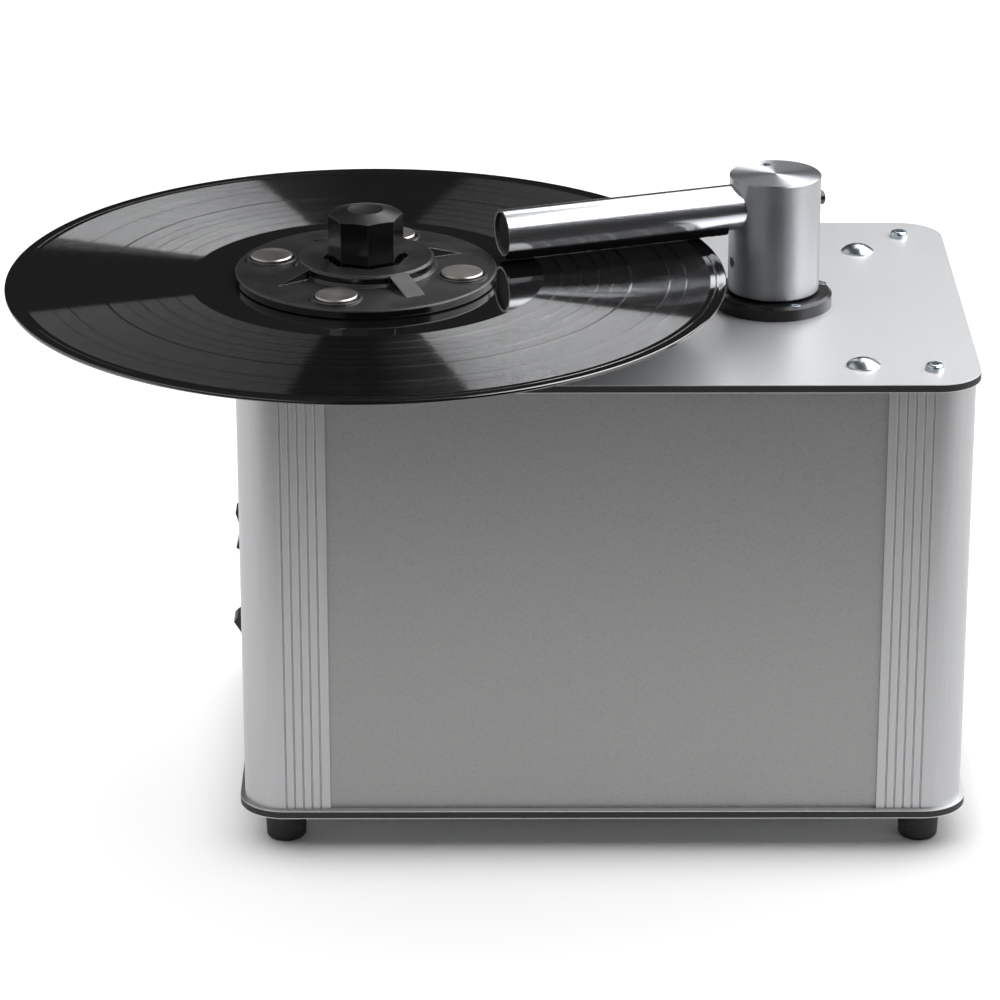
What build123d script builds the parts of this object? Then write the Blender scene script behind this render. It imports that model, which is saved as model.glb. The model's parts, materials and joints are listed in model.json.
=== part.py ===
from build123d import *
import math
import os

# A vacuum record cleaning machine, in millimetres with +Z up.
# Each piece is drawn in housing coordinates: X to the right, Y to the back and Z up
# from the floor, with X = Y = 0 at the middle of the housing. The last section moves
# the whole machine so that its origin is the bottom centre of its overall box.

# ---------------------------------------------------------------- clearances
RUNNING_FIT = 0.05          # radial gap between a turning or sliding shaft and its bore
ASSEMBLY_FIT = 0.1          # gap between fixed pieces that drop into one another
SEAT_GAP = 0.1              # gap between hard faces that turn or lift on each other
SOFT_GAP = 0.3              # gap that rubber, velvet and springs keep from moving pieces
SCREW_HOLE_FIT = 0.3        # radial gap round a screw shank in a clearance hole

# ---------------------------------------------------------------- housing
HOUSING_WIDTH = 309.0       # over the corner profiles
HOUSING_DEPTH = 211.2
HOUSING_HEIGHT = 198.0      # over the top and bottom plates
PROFILE_LEG = 37.5          # each leg of a corner profile, from the outer corner
PROFILE_RADIUS = 17.5       # rounding of the corner
PROFILE_SKIN = 2.2
PROFILE_LIP = 1.3           # lips that hold a panel, so also the recess of the panel
PROFILE_SLOT_DEPTH = 9.0
PROFILE_RIB = 1.8
SCREW_PORT_RADIUS = 4.2
SCREW_PORT_BORE = 2.1
GROOVE_COUNT = 5
GROOVE_MARGIN = 0.6         # from the end of the rounding to the first groove
GROOVE_PITCH = 3.7
GROOVE_WIDTH = 1.1
GROOVE_DEPTH = 0.6
PANEL_THICKNESS = 2.0
PLATE_THICKNESS = 3.5       # top and bottom plates
PLATE_OVERHANG = 2.0

FOOT_HEIGHT = 16.25
FOOT_RADIUS = 9.1
FOOT_TAPER = 0.7            # how much the radius shrinks towards the floor
FOOT_EDGE = 1.5
FOOT_SCREW_SEAT = 7.0       # thickness of rubber under the foot screw's head
FOOT_RECESS_RADIUS = 4.8

CORNER_HEAD_RADIUS = 3.9
CORNER_HEAD_HEIGHT = 2.5
CORNER_SHANK_RADIUS = 2.0
CORNER_SCREW_GRIP = 14.0    # length inside the screw port

# ---------------------------------------------------------------- record and platter
SPINDLE_FROM_LEFT = 54.45   # from the left side of the housing
SPINDLE_FROM_FRONT = 39.65  # from the front of the housing
RECORD_RADIUS = 150.8
RECORD_HEIGHT = 33.4        # top of the record above the top plate
RECORD_THICKNESS = 1.6      # at the rim bead and the label
RECORD_LAND_THICKNESS = 1.3
RECORD_BEAD_WIDTH = 3.0
RECORD_SLOPE = 1.0          # width of the slopes beside the bead and the label
LABEL_RADIUS = 50.0
CENTRE_PIN_RADIUS = 3.6
CENTRE_PIN_HEIGHT = 18.0    # above the record
SPINDLE_RADIUS = 6.0
SPINDLE_ENGAGEMENT = 12.0   # length inside the gearbox
PLATTER_RADIUS = 52.0
PLATTER_THICKNESS = 7.0
PLATTER_HUB_RADIUS = 13.0
PLATTER_HUB_LENGTH = 10.0
PLATTER_RIM = 2.0
PLATTER_FOOT_CHAMFER = 1.0
PLATTER_EDGE = 0.5
MAT_THICKNESS = 2.0
MAT_RECESS = 1.0
BEARING_FLANGE_RADIUS = 30.0
BEARING_FLANGE_THICKNESS = 5.0
BEARING_BOSS_RADIUS = 14.0
BEARING_BOSS_HEIGHT = 12.0
BEARING_SPIGOT_DEPTH = 11.0
BEARING_CHAMFER = 1.0
BEARING_SCREW_CIRCLE = 24.0
BEARING_SCREW_COUNT = 4
BEARING_SHANK_RADIUS = 1.9
BEARING_HEAD_RADIUS = 3.5
BEARING_HEAD_HEIGHT = 2.2
STANDOFF_RADIUS = 4.5
STANDOFF_LENGTH = 38.0
STANDOFF_THREAD_DEPTH = 12.0
SCREW_END_GAP = 2.0         # from a screw's end to the bottom of its hole
GEARBOX_RADIUS = 29.0
GEARBOX_HEIGHT = 21.0
GEARBOX_EDGE = 1.5
PLATTER_MOTOR_RADIUS = 18.0
PLATTER_MOTOR_LENGTH = 52.0

# ---------------------------------------------------------------- record clamp
CLAMP_RADIUS = 54.8
CLAMP_RIM_HEIGHT = 3.85     # top of the rim above the record
CLAMP_RIM_CHAMFER = 0.5
CLAMP_FLANGE_HEIGHT = 4.9   # where the flange meets the raised ring
CLAMP_RING_RADIUS = 28.6
CLAMP_RING_HEIGHT = 9.4
CLAMP_RING_EDGE = 0.8
CLAMP_RING_DISH = 0.4       # how much the ring's top falls towards the well
CLAMP_RING_FILLET = 1.0     # slope where the ring meets the flange
CLAMP_WELL_FLATS = 33.0     # octagonal well round the knob
CLAMP_WELL_DEPTH = 2.6
CLAMP_WALL = 2.4
CLAMP_HUB_RADIUS = 11.0
CLAMP_RIB_COUNT = 4
CLAMP_RIB_WIDTH = 8.6
CLAMP_RIB_REACH = 43.5
CLAMP_RIB_ANGLE = 29.5
CLAMP_UNDER_RIBS = 8
CLAMP_UNDER_RIB_WIDTH = 1.8
SEAL_RADIUS = 52.9
SEAL_WIDTH = 3.0
SEAL_THICKNESS = 1.6
DISC_COUNT = 4
DISC_CIRCLE = 41.6
DISC_RADIUS = 8.85
DISC_HEIGHT = 6.15          # top of a disc above the record
DISC_THICKNESS = 4.2
DISC_CHAMFER = 0.5
DISC_ANGLE = -15.5
DISC_GROOVE = 0.45          # gap round a disc
COLLAR_RADIUS = 10.6
COLLAR_HEIGHT = 0.6         # above the flange beside it

KNOB_SIDES = 8
KNOB_CORNER_RADIUS = 15.7
KNOB_HEIGHT = 29.65         # top of the knob above the record
KNOB_SHOULDER_DROP = 2.3    # fall from the crown to the corners
KNOB_CROWN_RADIUS = 7.5
KNOB_DISH_DEPTH = 0.7
KNOB_ANGLE = 5.0
KNOB_FOOT_CHAMFER = 1.0
INSERT_RADIUS = 5.4
INSERT_LENGTH = 13.0
KNOB_BORE_CLEARANCE = 2.0   # air above the centre pin inside the knob

# ---------------------------------------------------------------- suction arm
ARM_DIRECTION = 19.54       # from the spindle to the arm's axis, turned from +X
FLANGE_RADIUS = 25.5
FLANGE_THICKNESS = 6.25
FLANGE_CHAMFER = 1.2
FLANGE_SCREW_CIRCLE = 22.95
FLANGE_SCREW_COUNT = 4
FLANGE_SCREW_ANGLE = -68.6
FLANGE_SCREW_HEAD = 2.3
FLANGE_SCREW_SHANK = 1.2
FLANGE_SCREW_LENGTH = 9.0
PILLAR_RADIUS = 8.0
PILLAR_BORE = 5.5
PILLAR_SHOULDER_RADIUS = 10.5
PILLAR_SHOULDER_THICKNESS = 3.0
PILLAR_TAIL = 33.0          # below the top plate
PILLAR_BARB = 0.8
PILLAR_BARB_LENGTH = 3.0
PILLAR_EDGE = 0.5
PILLAR_NUT_FLATS = 24.0
PILLAR_NUT_THICKNESS = 6.0
PILLAR_TOP_DROP = 2.4       # from the top of the sleeve down to the top of the pillar
SLEEVE_WALL = 3.0
SLEEVE_LENGTH = 15.4
SPRING_WIRE = (1.6, 1.0)    # width and height of the flat wire
SPRING_MEAN_RADIUS = 9.6
SPRING_TURNS = 3.5
POST_RADIUS = 19.7
POST_GAP = 0.8              # between the flange and the post
POST_POCKET_DEPTH = 25.2
POST_ABOVE_TUBE = 13.1      # top of the post above the tube's axis
POST_EDGE = 0.6
POST_CHAMBER_RADIUS = 7.0
POST_CHAMBER_END = 9.0      # from the arm's axis, on the side away from the tube
POST_SCREW_CIRCLE = 12.9
POST_SCREW_ANGLE = -93.0    # from the direction of the tube
POST_SCREW_RADIUS = 2.2
POST_SCREW_SINK = 0.7
POST_SCREW_LENGTH = 6.0
GRUB_RADIUS = 2.3
GRUB_LENGTH = 6.0
GRUB_HEIGHT = 13.7          # above the foot of the post
GRUB_SINK = 1.0
TUBE_RADIUS = 9.85
TUBE_WALL = 1.0
TUBE_GAP = 2.5              # from the record up to the tube
TUBE_LENGTH = 105.1         # from the post to the open end of the tube
TUBE_CLAMP_GAP = 5.5        # from the open end of the tube to the clamp
TUBE_SEAT = 8.0             # from the arm's axis to the inner end of the tube
TUBE_SCREW_HEAD_RADIUS = 3.1
TUBE_SCREW_HEAD_LENGTH = 2.8
TUBE_SCREW_CHAMFER = 0.4
TUBE_SCREW_SHANK_RADIUS = 1.9
SLOT_WIDTH = 2.4
SLOT_START = 40.0           # from the arm's axis
SLOT_END_MARGIN = 11.0      # from the end of the slot to the open end of the tube
PLUG_LENGTH = 7.0
PLUG_RECESS = 1.2
STRIP_THICKNESS = 2.0
STRIP_REACH = 7.2           # outer edge of a velvet strip from the tube's middle
STRIP_START = 24.0

BACK_DOME = (37.9, 38.6)    # from the right side and the back of the housing
FRONT_DOME = (46.8, 22.2)   # from the right side and the front of the housing
DOME_RADIUS = 7.15
DOME_HEIGHT = 3.3
DOME_EDGE = 0.5
DOME_SHANK_RADIUS = 3.0
DOME_NUT_FLATS = 10.0
DOME_NUT_THICKNESS = 5.0
DOME_THREAD_END = 2.0       # thread that stands out of the nut

# ---------------------------------------------------------------- fluid tank
TANK_HEIGHT = 98.0
TANK_SIDE_GAP = 26.5        # from the right side of the housing
TANK_FRONT_GAP = 25.6       # from the front of the housing
TANK_BACK_GAP = 8.6         # from the back of the housing
TANK_FAN_GAP = 13.0         # from the fan housing to the tank's left side
TANK_WALL = 2.2
TANK_CORNER = 10.0
LID_THICKNESS = 3.0
LID_LIP_DEPTH = 4.0
INLET_SPIGOT_LENGTH = 16.0
SUCTION_SPIGOT_INSET = 20.0     # from the left side of the tank
SUCTION_SPIGOT_OFFSET = 8.0     # in front of the vacuum unit's axis
SPIGOT_RADIUS = 8.0
SPIGOT_WALL = 1.8
HOSE_WALL = 2.4
BRACKET_THICKNESS = 2.0
BRACKET_TOP_WIDTH = 32.0
BRACKET_FOOT_WIDTH = 14.0
BRACKET_BOLT_MARGIN = 12.0
BRACKET_NUT_GAP = 3.5       # round the flats of the pillar's nut

DRAIN_INSET = 28.0          # from the right side of the tank
DRAIN_HEIGHT = 14.5         # above the tank's floor
DRAIN_RADIUS = 7.0
DRAIN_WALL = 1.8
DRAIN_FLANGE_RADIUS = 11.0
DRAIN_FLANGE_THICKNESS = 3.0
DRAIN_STICKOUT = 17.0       # beyond the back panel
DRAIN_CAP_WALL = 2.5
DRAIN_CAP_CLEARANCE = 1.0   # from the back panel
DRAIN_CAP_RIBS = 12
DRAIN_CAP_GROOVE = 0.7      # radius of the grooves between the ribs
DRAIN_CAP_CHAMFER = 0.8

# ---------------------------------------------------------------- vacuum unit
VACUUM_FROM_LEFT = 94.5     # from the left side of the housing
VACUUM_FROM_BACK = 67.6     # from the back of the housing
MOUNT_HEIGHT = 6.0
MOUNT_RADIUS = 8.0
MOUNT_CIRCLE = 30.0
MOUNT_COUNT = 3
VACUUM_MOTOR_RADIUS = 40.0
VACUUM_MOTOR_HEIGHT = 68.0
FAN_RADIUS = 57.0
FAN_HEIGHT = 38.0
FAN_EDGE = 4.0
FAN_INLET_LENGTH = 16.0
EXHAUST_WIDTH = 50.0
EXHAUST_HEIGHT = 24.0
EXHAUST_WALL = 2.0
VENT_COUNT = 9
VENT_WIDTH = 2.6
VENT_HEIGHT = 20.0
VENT_PITCH = 5.2
HOSE_DROP = 20.0            # from the top plate down to the middle of the hose's crest
HOSE_BEND = 30.0

BOARD_MOTOR_GAP = 1.05      # from the platter's motor to the board
BOARD_WIDTH = 90.0
BOARD_DEPTH = 2.0
BOARD_HEIGHT = 60.0
BOARD_BASE = 60.0           # above the bottom plate
BOARD_STANDOFF = 6.0
TRANSFORMER_SIZE = (38.0, 22.0, 34.0)
CAPACITOR_RADIUS = 10.0
CAPACITOR_LENGTH = 26.0

# ---------------------------------------------------------------- mains inlet
INLET_PROFILE_GAP = 4.0     # from the corner profile to the inlet's flange
INLET_HEIGHT = 34.0         # above the bottom plate
INLET_FLANGE = (50.0, 23.0, 2.5)
INLET_BODY = (27.4, 19.6, 24.0)
INLET_SOCKET = (23.6, 15.8, 16.0)
INLET_CORNER = 4.0
INLET_SCREW_SPACING = 40.0
INLET_SCREW_RADIUS = 1.6
INLET_HEAD_RADIUS = 2.8
INLET_HEAD_HEIGHT = 1.9
PIN_SIZE = (2.0, 13.0, 4.0)
PIN_SPREAD = 7.0
PIN_DROP = 2.0
PIN_RISE = 3.5

# ---------------------------------------------------------------- rocker switches
SWITCH_FROM_FRONT = 60.6    # from the front of the housing
SPIN_SWITCH_HEIGHT = 107.0  # above the bottom plate
VACUUM_SWITCH_HEIGHT = 58.0
BEZEL_HEIGHT = 25.0
BEZEL_WIDTH = 16.0
BEZEL_THICKNESS = 2.0
BEZEL_CORNER = 1.5
SWITCH_BODY_MARGIN = 1.6    # bezel edge beyond the body
SWITCH_BODY_DEPTH = 20.0
ROCKER_RADIUS = 10.0        # from the pivot to the ends of the rocker
ROCKER_WIDTH = 11.4
ROCKER_HUMP = 6.0           # height of the ends above the pivot
ROCKER_DIP = 3.6            # height of the middle above the pivot
ROCKER_ROOT = 2.5           # depth of the rocker below the pivot
ROCKER_PIVOT_DEPTH = 1.0    # pivot below the face of the panel
ROCKER_TILT = 15.0          # resting tilt of the two-position rocker
ROCKER_GAP = 0.35

# ---------------------------------------------------------------- derived places
FACE_UP = (Align.CENTER, Align.CENTER, Align.MIN)
FACE_DOWN = (Align.CENTER, Align.CENTER, Align.MAX)
CORNERS = [("front_left", -1, -1), ("front_right", 1, -1), ("back_left", -1, 1), ("back_right", 1, 1)]

frame_base = FOOT_HEIGHT + PLATE_THICKNESS
deck = FOOT_HEIGHT + HOUSING_HEIGHT
frame_top = deck - PLATE_THICKNESS
corner_x = HOUSING_WIDTH / 2 - PROFILE_RADIUS
corner_y = HOUSING_DEPTH / 2 - PROFILE_RADIUS
panel_slot = PANEL_THICKNESS + ASSEMBLY_FIT
panel_left = -HOUSING_WIDTH / 2 + PROFILE_LIP
panel_back = HOUSING_DEPTH / 2 - PROFILE_LIP

spindle_x = -HOUSING_WIDTH / 2 + SPINDLE_FROM_LEFT
spindle_y = -HOUSING_DEPTH / 2 + SPINDLE_FROM_FRONT
record_top = deck + RECORD_HEIGHT
record_base = record_top - RECORD_THICKNESS
platter_top = record_base - MAT_THICKNESS + MAT_RECESS
platter_base = platter_top - PLATTER_THICKNESS
gearbox_top = frame_top - STANDOFF_LENGTH

flange_top = deck + FLANGE_THICKNESS
post_base = flange_top + POST_GAP
tube_axis = record_top + TUBE_GAP + TUBE_RADIUS
post_top = tube_axis + POST_ABOVE_TUBE
pocket_top = post_base + POST_POCKET_DEPTH
sleeve_radius = PILLAR_RADIUS + RUNNING_FIT + SLEEVE_WALL
sleeve_top = pocket_top - SEAT_GAP
sleeve_base = sleeve_top - SLEEVE_LENGTH
pillar_top = sleeve_top - PILLAR_TOP_DROP
tube_reach = POST_RADIUS + TUBE_LENGTH
arm_distance = tube_reach + TUBE_CLAMP_GAP + CLAMP_RADIUS
arm_x = spindle_x + arm_distance * math.cos(math.radians(ARM_DIRECTION))
arm_y = spindle_y + arm_distance * math.sin(math.radians(ARM_DIRECTION))
arm_angle = ARM_DIRECTION + 180
at_spindle = Pos(spindle_x, spindle_y, 0)
at_arm = Pos(arm_x, arm_y, 0)
along_arm = at_arm * Rot(0, 0, arm_angle)

dome_bolt_places = [
    (HOUSING_WIDTH / 2 - BACK_DOME[0], HOUSING_DEPTH / 2 - BACK_DOME[1]),
    (HOUSING_WIDTH / 2 - FRONT_DOME[0], FRONT_DOME[1] - HOUSING_DEPTH / 2)]
vacuum_x = -HOUSING_WIDTH / 2 + VACUUM_FROM_LEFT
vacuum_y = HOUSING_DEPTH / 2 - VACUUM_FROM_BACK
tank_left = vacuum_x + FAN_RADIUS + TANK_FAN_GAP
tank_right = HOUSING_WIDTH / 2 - TANK_SIDE_GAP
tank_front = -HOUSING_DEPTH / 2 + TANK_FRONT_GAP
tank_back = HOUSING_DEPTH / 2 - TANK_BACK_GAP
lid_top = frame_base + TANK_HEIGHT + LID_THICKNESS
spigot_top = lid_top + INLET_SPIGOT_LENGTH
suction_spigot = (tank_left + SUCTION_SPIGOT_INSET, vacuum_y - SUCTION_SPIGOT_OFFSET)
pillar_foot = frame_top - PILLAR_TAIL
fan_base = frame_base + MOUNT_HEIGHT + VACUUM_MOTOR_HEIGHT
fan_top = fan_base + FAN_HEIGHT
exhaust_level = fan_base + FAN_HEIGHT / 2
drain_x = tank_right - DRAIN_INSET
drain_level = frame_base + DRAIN_HEIGHT
drain_end = panel_back + DRAIN_STICKOUT
drain_cap_end = drain_end + SEAT_GAP + DRAIN_CAP_WALL
inlet_x = -HOUSING_WIDTH / 2 + PROFILE_LEG + INLET_PROFILE_GAP + INLET_FLANGE[0] / 2
inlet_level = frame_base + INLET_HEIGHT
switch_y = -HOUSING_DEPTH / 2 + SWITCH_FROM_FRONT
spin_switch_level = frame_base + SPIN_SWITCH_HEIGHT
vacuum_switch_level = frame_base + VACUUM_SWITCH_HEIGHT
rocker_pivot_x = panel_left + ROCKER_PIVOT_DEPTH


# ---------------------------------------------------------------- shared shapes
def rod(radius, low, high):
    """Upright cylinder about Z between two heights."""
    return Pos(0, 0, low) * Cylinder(radius, high - low, align=FACE_UP)


def pipe(radius, bore, low, high):
    """Upright tube about Z between two heights."""
    return rod(radius, low, high) - rod(bore, low, high)


def block(x, y, z):
    """Box between pairs of limits."""
    size = Box(x[1] - x[0], y[1] - y[0], z[1] - z[0])
    return Pos((x[0] + x[1]) / 2, (y[0] + y[1]) / 2, (z[0] + z[1]) / 2) * size


def turned(*points):
    """Solid of revolution about Z from (radius, height) points."""
    outline = make_face(Polyline(*points, close=True))
    return revolve(Plane.XZ * outline, axis=Axis.Z)


def ring_of(count, radius, start=0.0):
    """Places on a circle about Z, each turned to face outwards."""
    return [Rot(0, 0, start + 360 / count * i) * Pos(radius, 0, 0) for i in range(count)]


def group(solids):
    """Separate like solids that share one node."""
    return Part() + list(solids)


def cross_recess(size, depth):
    """Cutter for a cross recess that is open upwards at Z = 0."""
    bar = Box(size, size * 0.24, 2 * depth)
    return bar + Rot(0, 0, 90) * bar


def pan_screw(head_radius, head_height, shank_radius, shank_length):
    """Cross-recess screw with its head standing on Z = 0."""
    head = Cylinder(head_radius, head_height, align=FACE_UP)
    head = fillet(head.edges().group_by(Axis.Z)[-1], head_height * 0.6)
    head -= Pos(0, 0, head_height) * cross_recess(head_radius * 1.1, head_height * 0.55)
    return head + Cylinder(shank_radius, shank_length, align=FACE_DOWN)


def socket_screw(radius, length):
    """Headless screw with its hexagon socket end at Z = 0."""
    return Cylinder(radius, length, align=FACE_DOWN) - extrude(RegularPolygon(radius * 0.55, 6), -length / 3)


def hex_nut(flats, thickness, hole):
    """Nut that stands on Z = 0."""
    blank = extrude(RegularPolygon(flats / 2, 6, major_radius=False), thickness)
    return blank - rod(hole, 0, thickness)


def dome(radius, height):
    """Spherical cap that stands on Z = 0."""
    ball = (radius ** 2 + height ** 2) / (2 * height)
    return Pos(0, 0, height - ball) * Sphere(ball) & rod(radius + height, 0, height)


# ---------------------------------------------------------------- housing pieces
def both_legs(along, across):
    """Rectangle on one leg of the corner profile and its twin on the other leg."""
    span = (along[1] - along[0], across[1] - across[0])
    middle = ((along[0] + along[1]) / 2, (across[0] + across[1]) / 2)
    first = Pos(middle[0], middle[1]) * Rectangle(span[0], span[1])
    return first + Pos(middle[1], middle[0]) * Rectangle(span[1], span[0])


def rounded_square(low, high, radius):
    """Square from (low, low) to (high, high), rounded at its low corner."""
    middle = (low + high) / 2
    square = Pos(middle, middle) * Rectangle(high - low, high - low)
    return fillet(square.vertices().sort_by_distance((low, low, 0))[0], radius)


def profile_section():
    """Corner extrusion with its outer faces on X = 0 and Y = 0 and its legs along +X and +Y."""
    slot_start = PROFILE_LEG - PROFILE_SLOT_DEPTH
    slot_back = 2 * PROFILE_LIP + panel_slot
    outside = rounded_square(0, PROFILE_LEG, PROFILE_RADIUS)
    inside = rounded_square(PROFILE_SKIN, PROFILE_LEG + PROFILE_SKIN, PROFILE_RADIUS - PROFILE_SKIN)
    section = outside - inside
    section += both_legs((slot_start - PROFILE_RIB, PROFILE_LEG), (0, slot_back))
    section -= both_legs((slot_start, PROFILE_LEG), (PROFILE_LIP, PROFILE_LIP + panel_slot))
    half_rib = PROFILE_RIB / 2
    rib = (PROFILE_RADIUS - half_rib, PROFILE_RADIUS + half_rib)
    section += both_legs(rib, (PROFILE_SKIN / 2, PROFILE_RADIUS))
    section += Pos(PROFILE_RADIUS, PROFILE_RADIUS) * Circle(SCREW_PORT_RADIUS)
    section -= Pos(PROFILE_RADIUS, PROFILE_RADIUS) * Circle(SCREW_PORT_BORE)
    groove = make_face(Polyline((-GROOVE_WIDTH / 2, 0), (0, GROOVE_DEPTH), (GROOVE_WIDTH / 2, 0), close=True))
    for i in range(GROOVE_COUNT):
        place = PROFILE_RADIUS + GROOVE_MARGIN + GROOVE_WIDTH / 2 + i * GROOVE_PITCH
        section -= Pos(place, 0) * groove
        section -= Pos(0, place) * mirror(Rot(0, 0, 90) * groove, about=Plane.YZ)
    return section


def corner_profile(side_x, side_y):
    """Corner extrusion, turned to the given corner of the housing."""
    column = extrude(profile_section(), frame_top - frame_base)
    column = Pos(-HOUSING_WIDTH / 2, -HOUSING_DEPTH / 2, frame_base) * column
    if side_x > 0:
        column = mirror(column, about=Plane.YZ)
    if side_y > 0:
        column = mirror(column, about=Plane.XZ)
    return column


def panel(span, face, back):
    """Flat panel between two corner profiles, standing on Y = face and drawn along X."""
    half = span / 2 - PROFILE_LEG + PROFILE_SLOT_DEPTH - ASSEMBLY_FIT
    return block((-half, half), (face, back), (frame_base, frame_top))


def front_panel():
    face = -HOUSING_DEPTH / 2 + PROFILE_LIP
    return panel(HOUSING_WIDTH, face, face + PANEL_THICKNESS)


def side_panel(side):
    face = HOUSING_WIDTH / 2 - PROFILE_LIP
    return Rot(0, 0, -90 * side) * panel(HOUSING_DEPTH, face - PANEL_THICKNESS, face)


def left_panel():
    body_height = BEZEL_HEIGHT - 2 * SWITCH_BODY_MARGIN + 2 * ASSEMBLY_FIT
    body_width = BEZEL_WIDTH - 2 * SWITCH_BODY_MARGIN + 2 * ASSEMBLY_FIT
    sheet = side_panel(-1)
    for level in (spin_switch_level, vacuum_switch_level):
        sheet -= Pos(panel_left, switch_y, level) * Box(4 * PANEL_THICKNESS, body_width, body_height)
    return sheet


def back_panel():
    sheet = panel(HOUSING_WIDTH, panel_back - PANEL_THICKNESS, panel_back)
    through = 4 * PANEL_THICKNESS
    width = INLET_BODY[0] + 2 * ASSEMBLY_FIT
    height = INLET_BODY[1] + 2 * ASSEMBLY_FIT
    sheet -= Pos(inlet_x, panel_back, inlet_level) * Box(width, through, height)
    for side in (-1, 1):
        hole = Pos(inlet_x + side * INLET_SCREW_SPACING / 2, panel_back, inlet_level) * Rot(90, 0, 0)
        sheet -= hole * Cylinder(INLET_SCREW_RADIUS + ASSEMBLY_FIT, through)
    drain = Pos(drain_x, panel_back, drain_level) * Rot(90, 0, 0)
    sheet -= drain * Cylinder(DRAIN_RADIUS + ASSEMBLY_FIT, through)
    slit = SlotCenterToCenter(VENT_HEIGHT - VENT_WIDTH, VENT_WIDTH, rotation=90)
    for i in range(VENT_COUNT):
        offset = (i - (VENT_COUNT - 1) / 2) * VENT_PITCH
        place = Pos(vacuum_x + offset, panel_back + PANEL_THICKNESS, exhaust_level) * Rot(90, 0, 0)
        sheet -= place * extrude(slit, through)
    return sheet


def plate_blank(base):
    """Rounded plate over or under the corner profiles, drilled for the corner screws."""
    width = HOUSING_WIDTH + 2 * PLATE_OVERHANG
    depth = HOUSING_DEPTH + 2 * PLATE_OVERHANG
    outline = RectangleRounded(width, depth, PROFILE_RADIUS + PLATE_OVERHANG)
    outline -= [Pos(x * corner_x, y * corner_y) * Circle(CORNER_SHANK_RADIUS + SCREW_HOLE_FIT)
                for _, x, y in CORNERS]
    return Pos(0, 0, base) * extrude(outline, PLATE_THICKNESS)


def top_plate():
    plate = plate_blank(frame_top)
    for x, y in dome_bolt_places:
        plate -= Pos(x, y, 0) * rod(DOME_SHANK_RADIUS + SCREW_HOLE_FIT, frame_top, deck)
    plate -= at_arm * rod(PILLAR_RADIUS + ASSEMBLY_FIT, frame_top, deck)
    for place in ring_of(FLANGE_SCREW_COUNT, FLANGE_SCREW_CIRCLE, FLANGE_SCREW_ANGLE):
        plate -= at_arm * place * rod(FLANGE_SCREW_SHANK + ASSEMBLY_FIT, frame_top, deck)
    plate -= at_spindle * rod(BEARING_BOSS_RADIUS + ASSEMBLY_FIT, frame_top, deck)
    for place in ring_of(BEARING_SCREW_COUNT, BEARING_SCREW_CIRCLE, 45):
        plate -= at_spindle * place * rod(BEARING_SHANK_RADIUS + SCREW_HOLE_FIT, frame_top, deck)
    return plate


def bottom_plate():
    return plate_blank(FOOT_HEIGHT)


def foot(side_x, side_y):
    """Rubber foot with a deep recess for its screw."""
    sole = FOOT_RADIUS - FOOT_TAPER
    body = turned((0, 0), (sole, 0), (FOOT_RADIUS, FOOT_HEIGHT), (0, FOOT_HEIGHT))
    body = fillet(body.edges().group_by(Axis.Z)[0], FOOT_EDGE)
    body -= rod(FOOT_RECESS_RADIUS, 0, FOOT_HEIGHT - FOOT_SCREW_SEAT)
    body -= rod(CORNER_SHANK_RADIUS + SCREW_HOLE_FIT, 0, FOOT_HEIGHT)
    return Pos(side_x * corner_x, side_y * corner_y, 0) * body


def foot_screws():
    """Screws that hold the feet and the bottom plate to the corner profiles."""
    seat = FOOT_HEIGHT - FOOT_SCREW_SEAT
    length = FOOT_SCREW_SEAT + PLATE_THICKNESS + CORNER_SCREW_GRIP
    screw = Rot(180, 0, 0) * pan_screw(CORNER_HEAD_RADIUS, CORNER_HEAD_HEIGHT, CORNER_SHANK_RADIUS, length)
    return group(Pos(x * corner_x, y * corner_y, seat) * screw for _, x, y in CORNERS)


def corner_screws():
    """Screws that hold the top plate to the corner profiles."""
    length = PLATE_THICKNESS + CORNER_SCREW_GRIP
    screw = pan_screw(CORNER_HEAD_RADIUS, CORNER_HEAD_HEIGHT, CORNER_SHANK_RADIUS, length)
    return group(Pos(x * corner_x, y * corner_y, deck) * screw for _, x, y in CORNERS)


def dome_bolts():
    """Smooth dome-headed bolts that hang the tank bracket from the top plate."""
    length = PLATE_THICKNESS + BRACKET_THICKNESS + DOME_NUT_THICKNESS + DOME_THREAD_END
    bolt = rod(DOME_RADIUS, 0, DOME_EDGE) + Pos(0, 0, DOME_EDGE) * dome(DOME_RADIUS, DOME_HEIGHT - DOME_EDGE)
    bolt += Cylinder(DOME_SHANK_RADIUS, length, align=FACE_DOWN)
    return group(Pos(x, y, deck) * bolt for x, y in dome_bolt_places)


def dome_bolt_nuts():
    nut = hex_nut(DOME_NUT_FLATS, DOME_NUT_THICKNESS, DOME_SHANK_RADIUS + RUNNING_FIT)
    level = frame_top - BRACKET_THICKNESS - DOME_NUT_THICKNESS
    return group(Pos(x, y, level) * nut for x, y in dome_bolt_places)


# ---------------------------------------------------------------- platter drive
def bearing_housing():
    """Flanged plain bearing for the spindle, let into the top plate."""
    boss_top = deck + BEARING_BOSS_HEIGHT
    flange_face = deck + BEARING_FLANGE_THICKNESS
    body = rod(BEARING_FLANGE_RADIUS, deck, flange_face)
    body = chamfer(body.edges().group_by(Axis.Z)[-1], BEARING_CHAMFER)
    body += rod(BEARING_BOSS_RADIUS, deck - BEARING_SPIGOT_DEPTH, boss_top)
    body -= rod(SPINDLE_RADIUS + RUNNING_FIT, deck - BEARING_SPIGOT_DEPTH, boss_top)
    for place in ring_of(BEARING_SCREW_COUNT, BEARING_SCREW_CIRCLE, 45):
        body -= place * rod(BEARING_SHANK_RADIUS + SCREW_HOLE_FIT, deck, flange_face)
    return at_spindle * body


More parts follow.
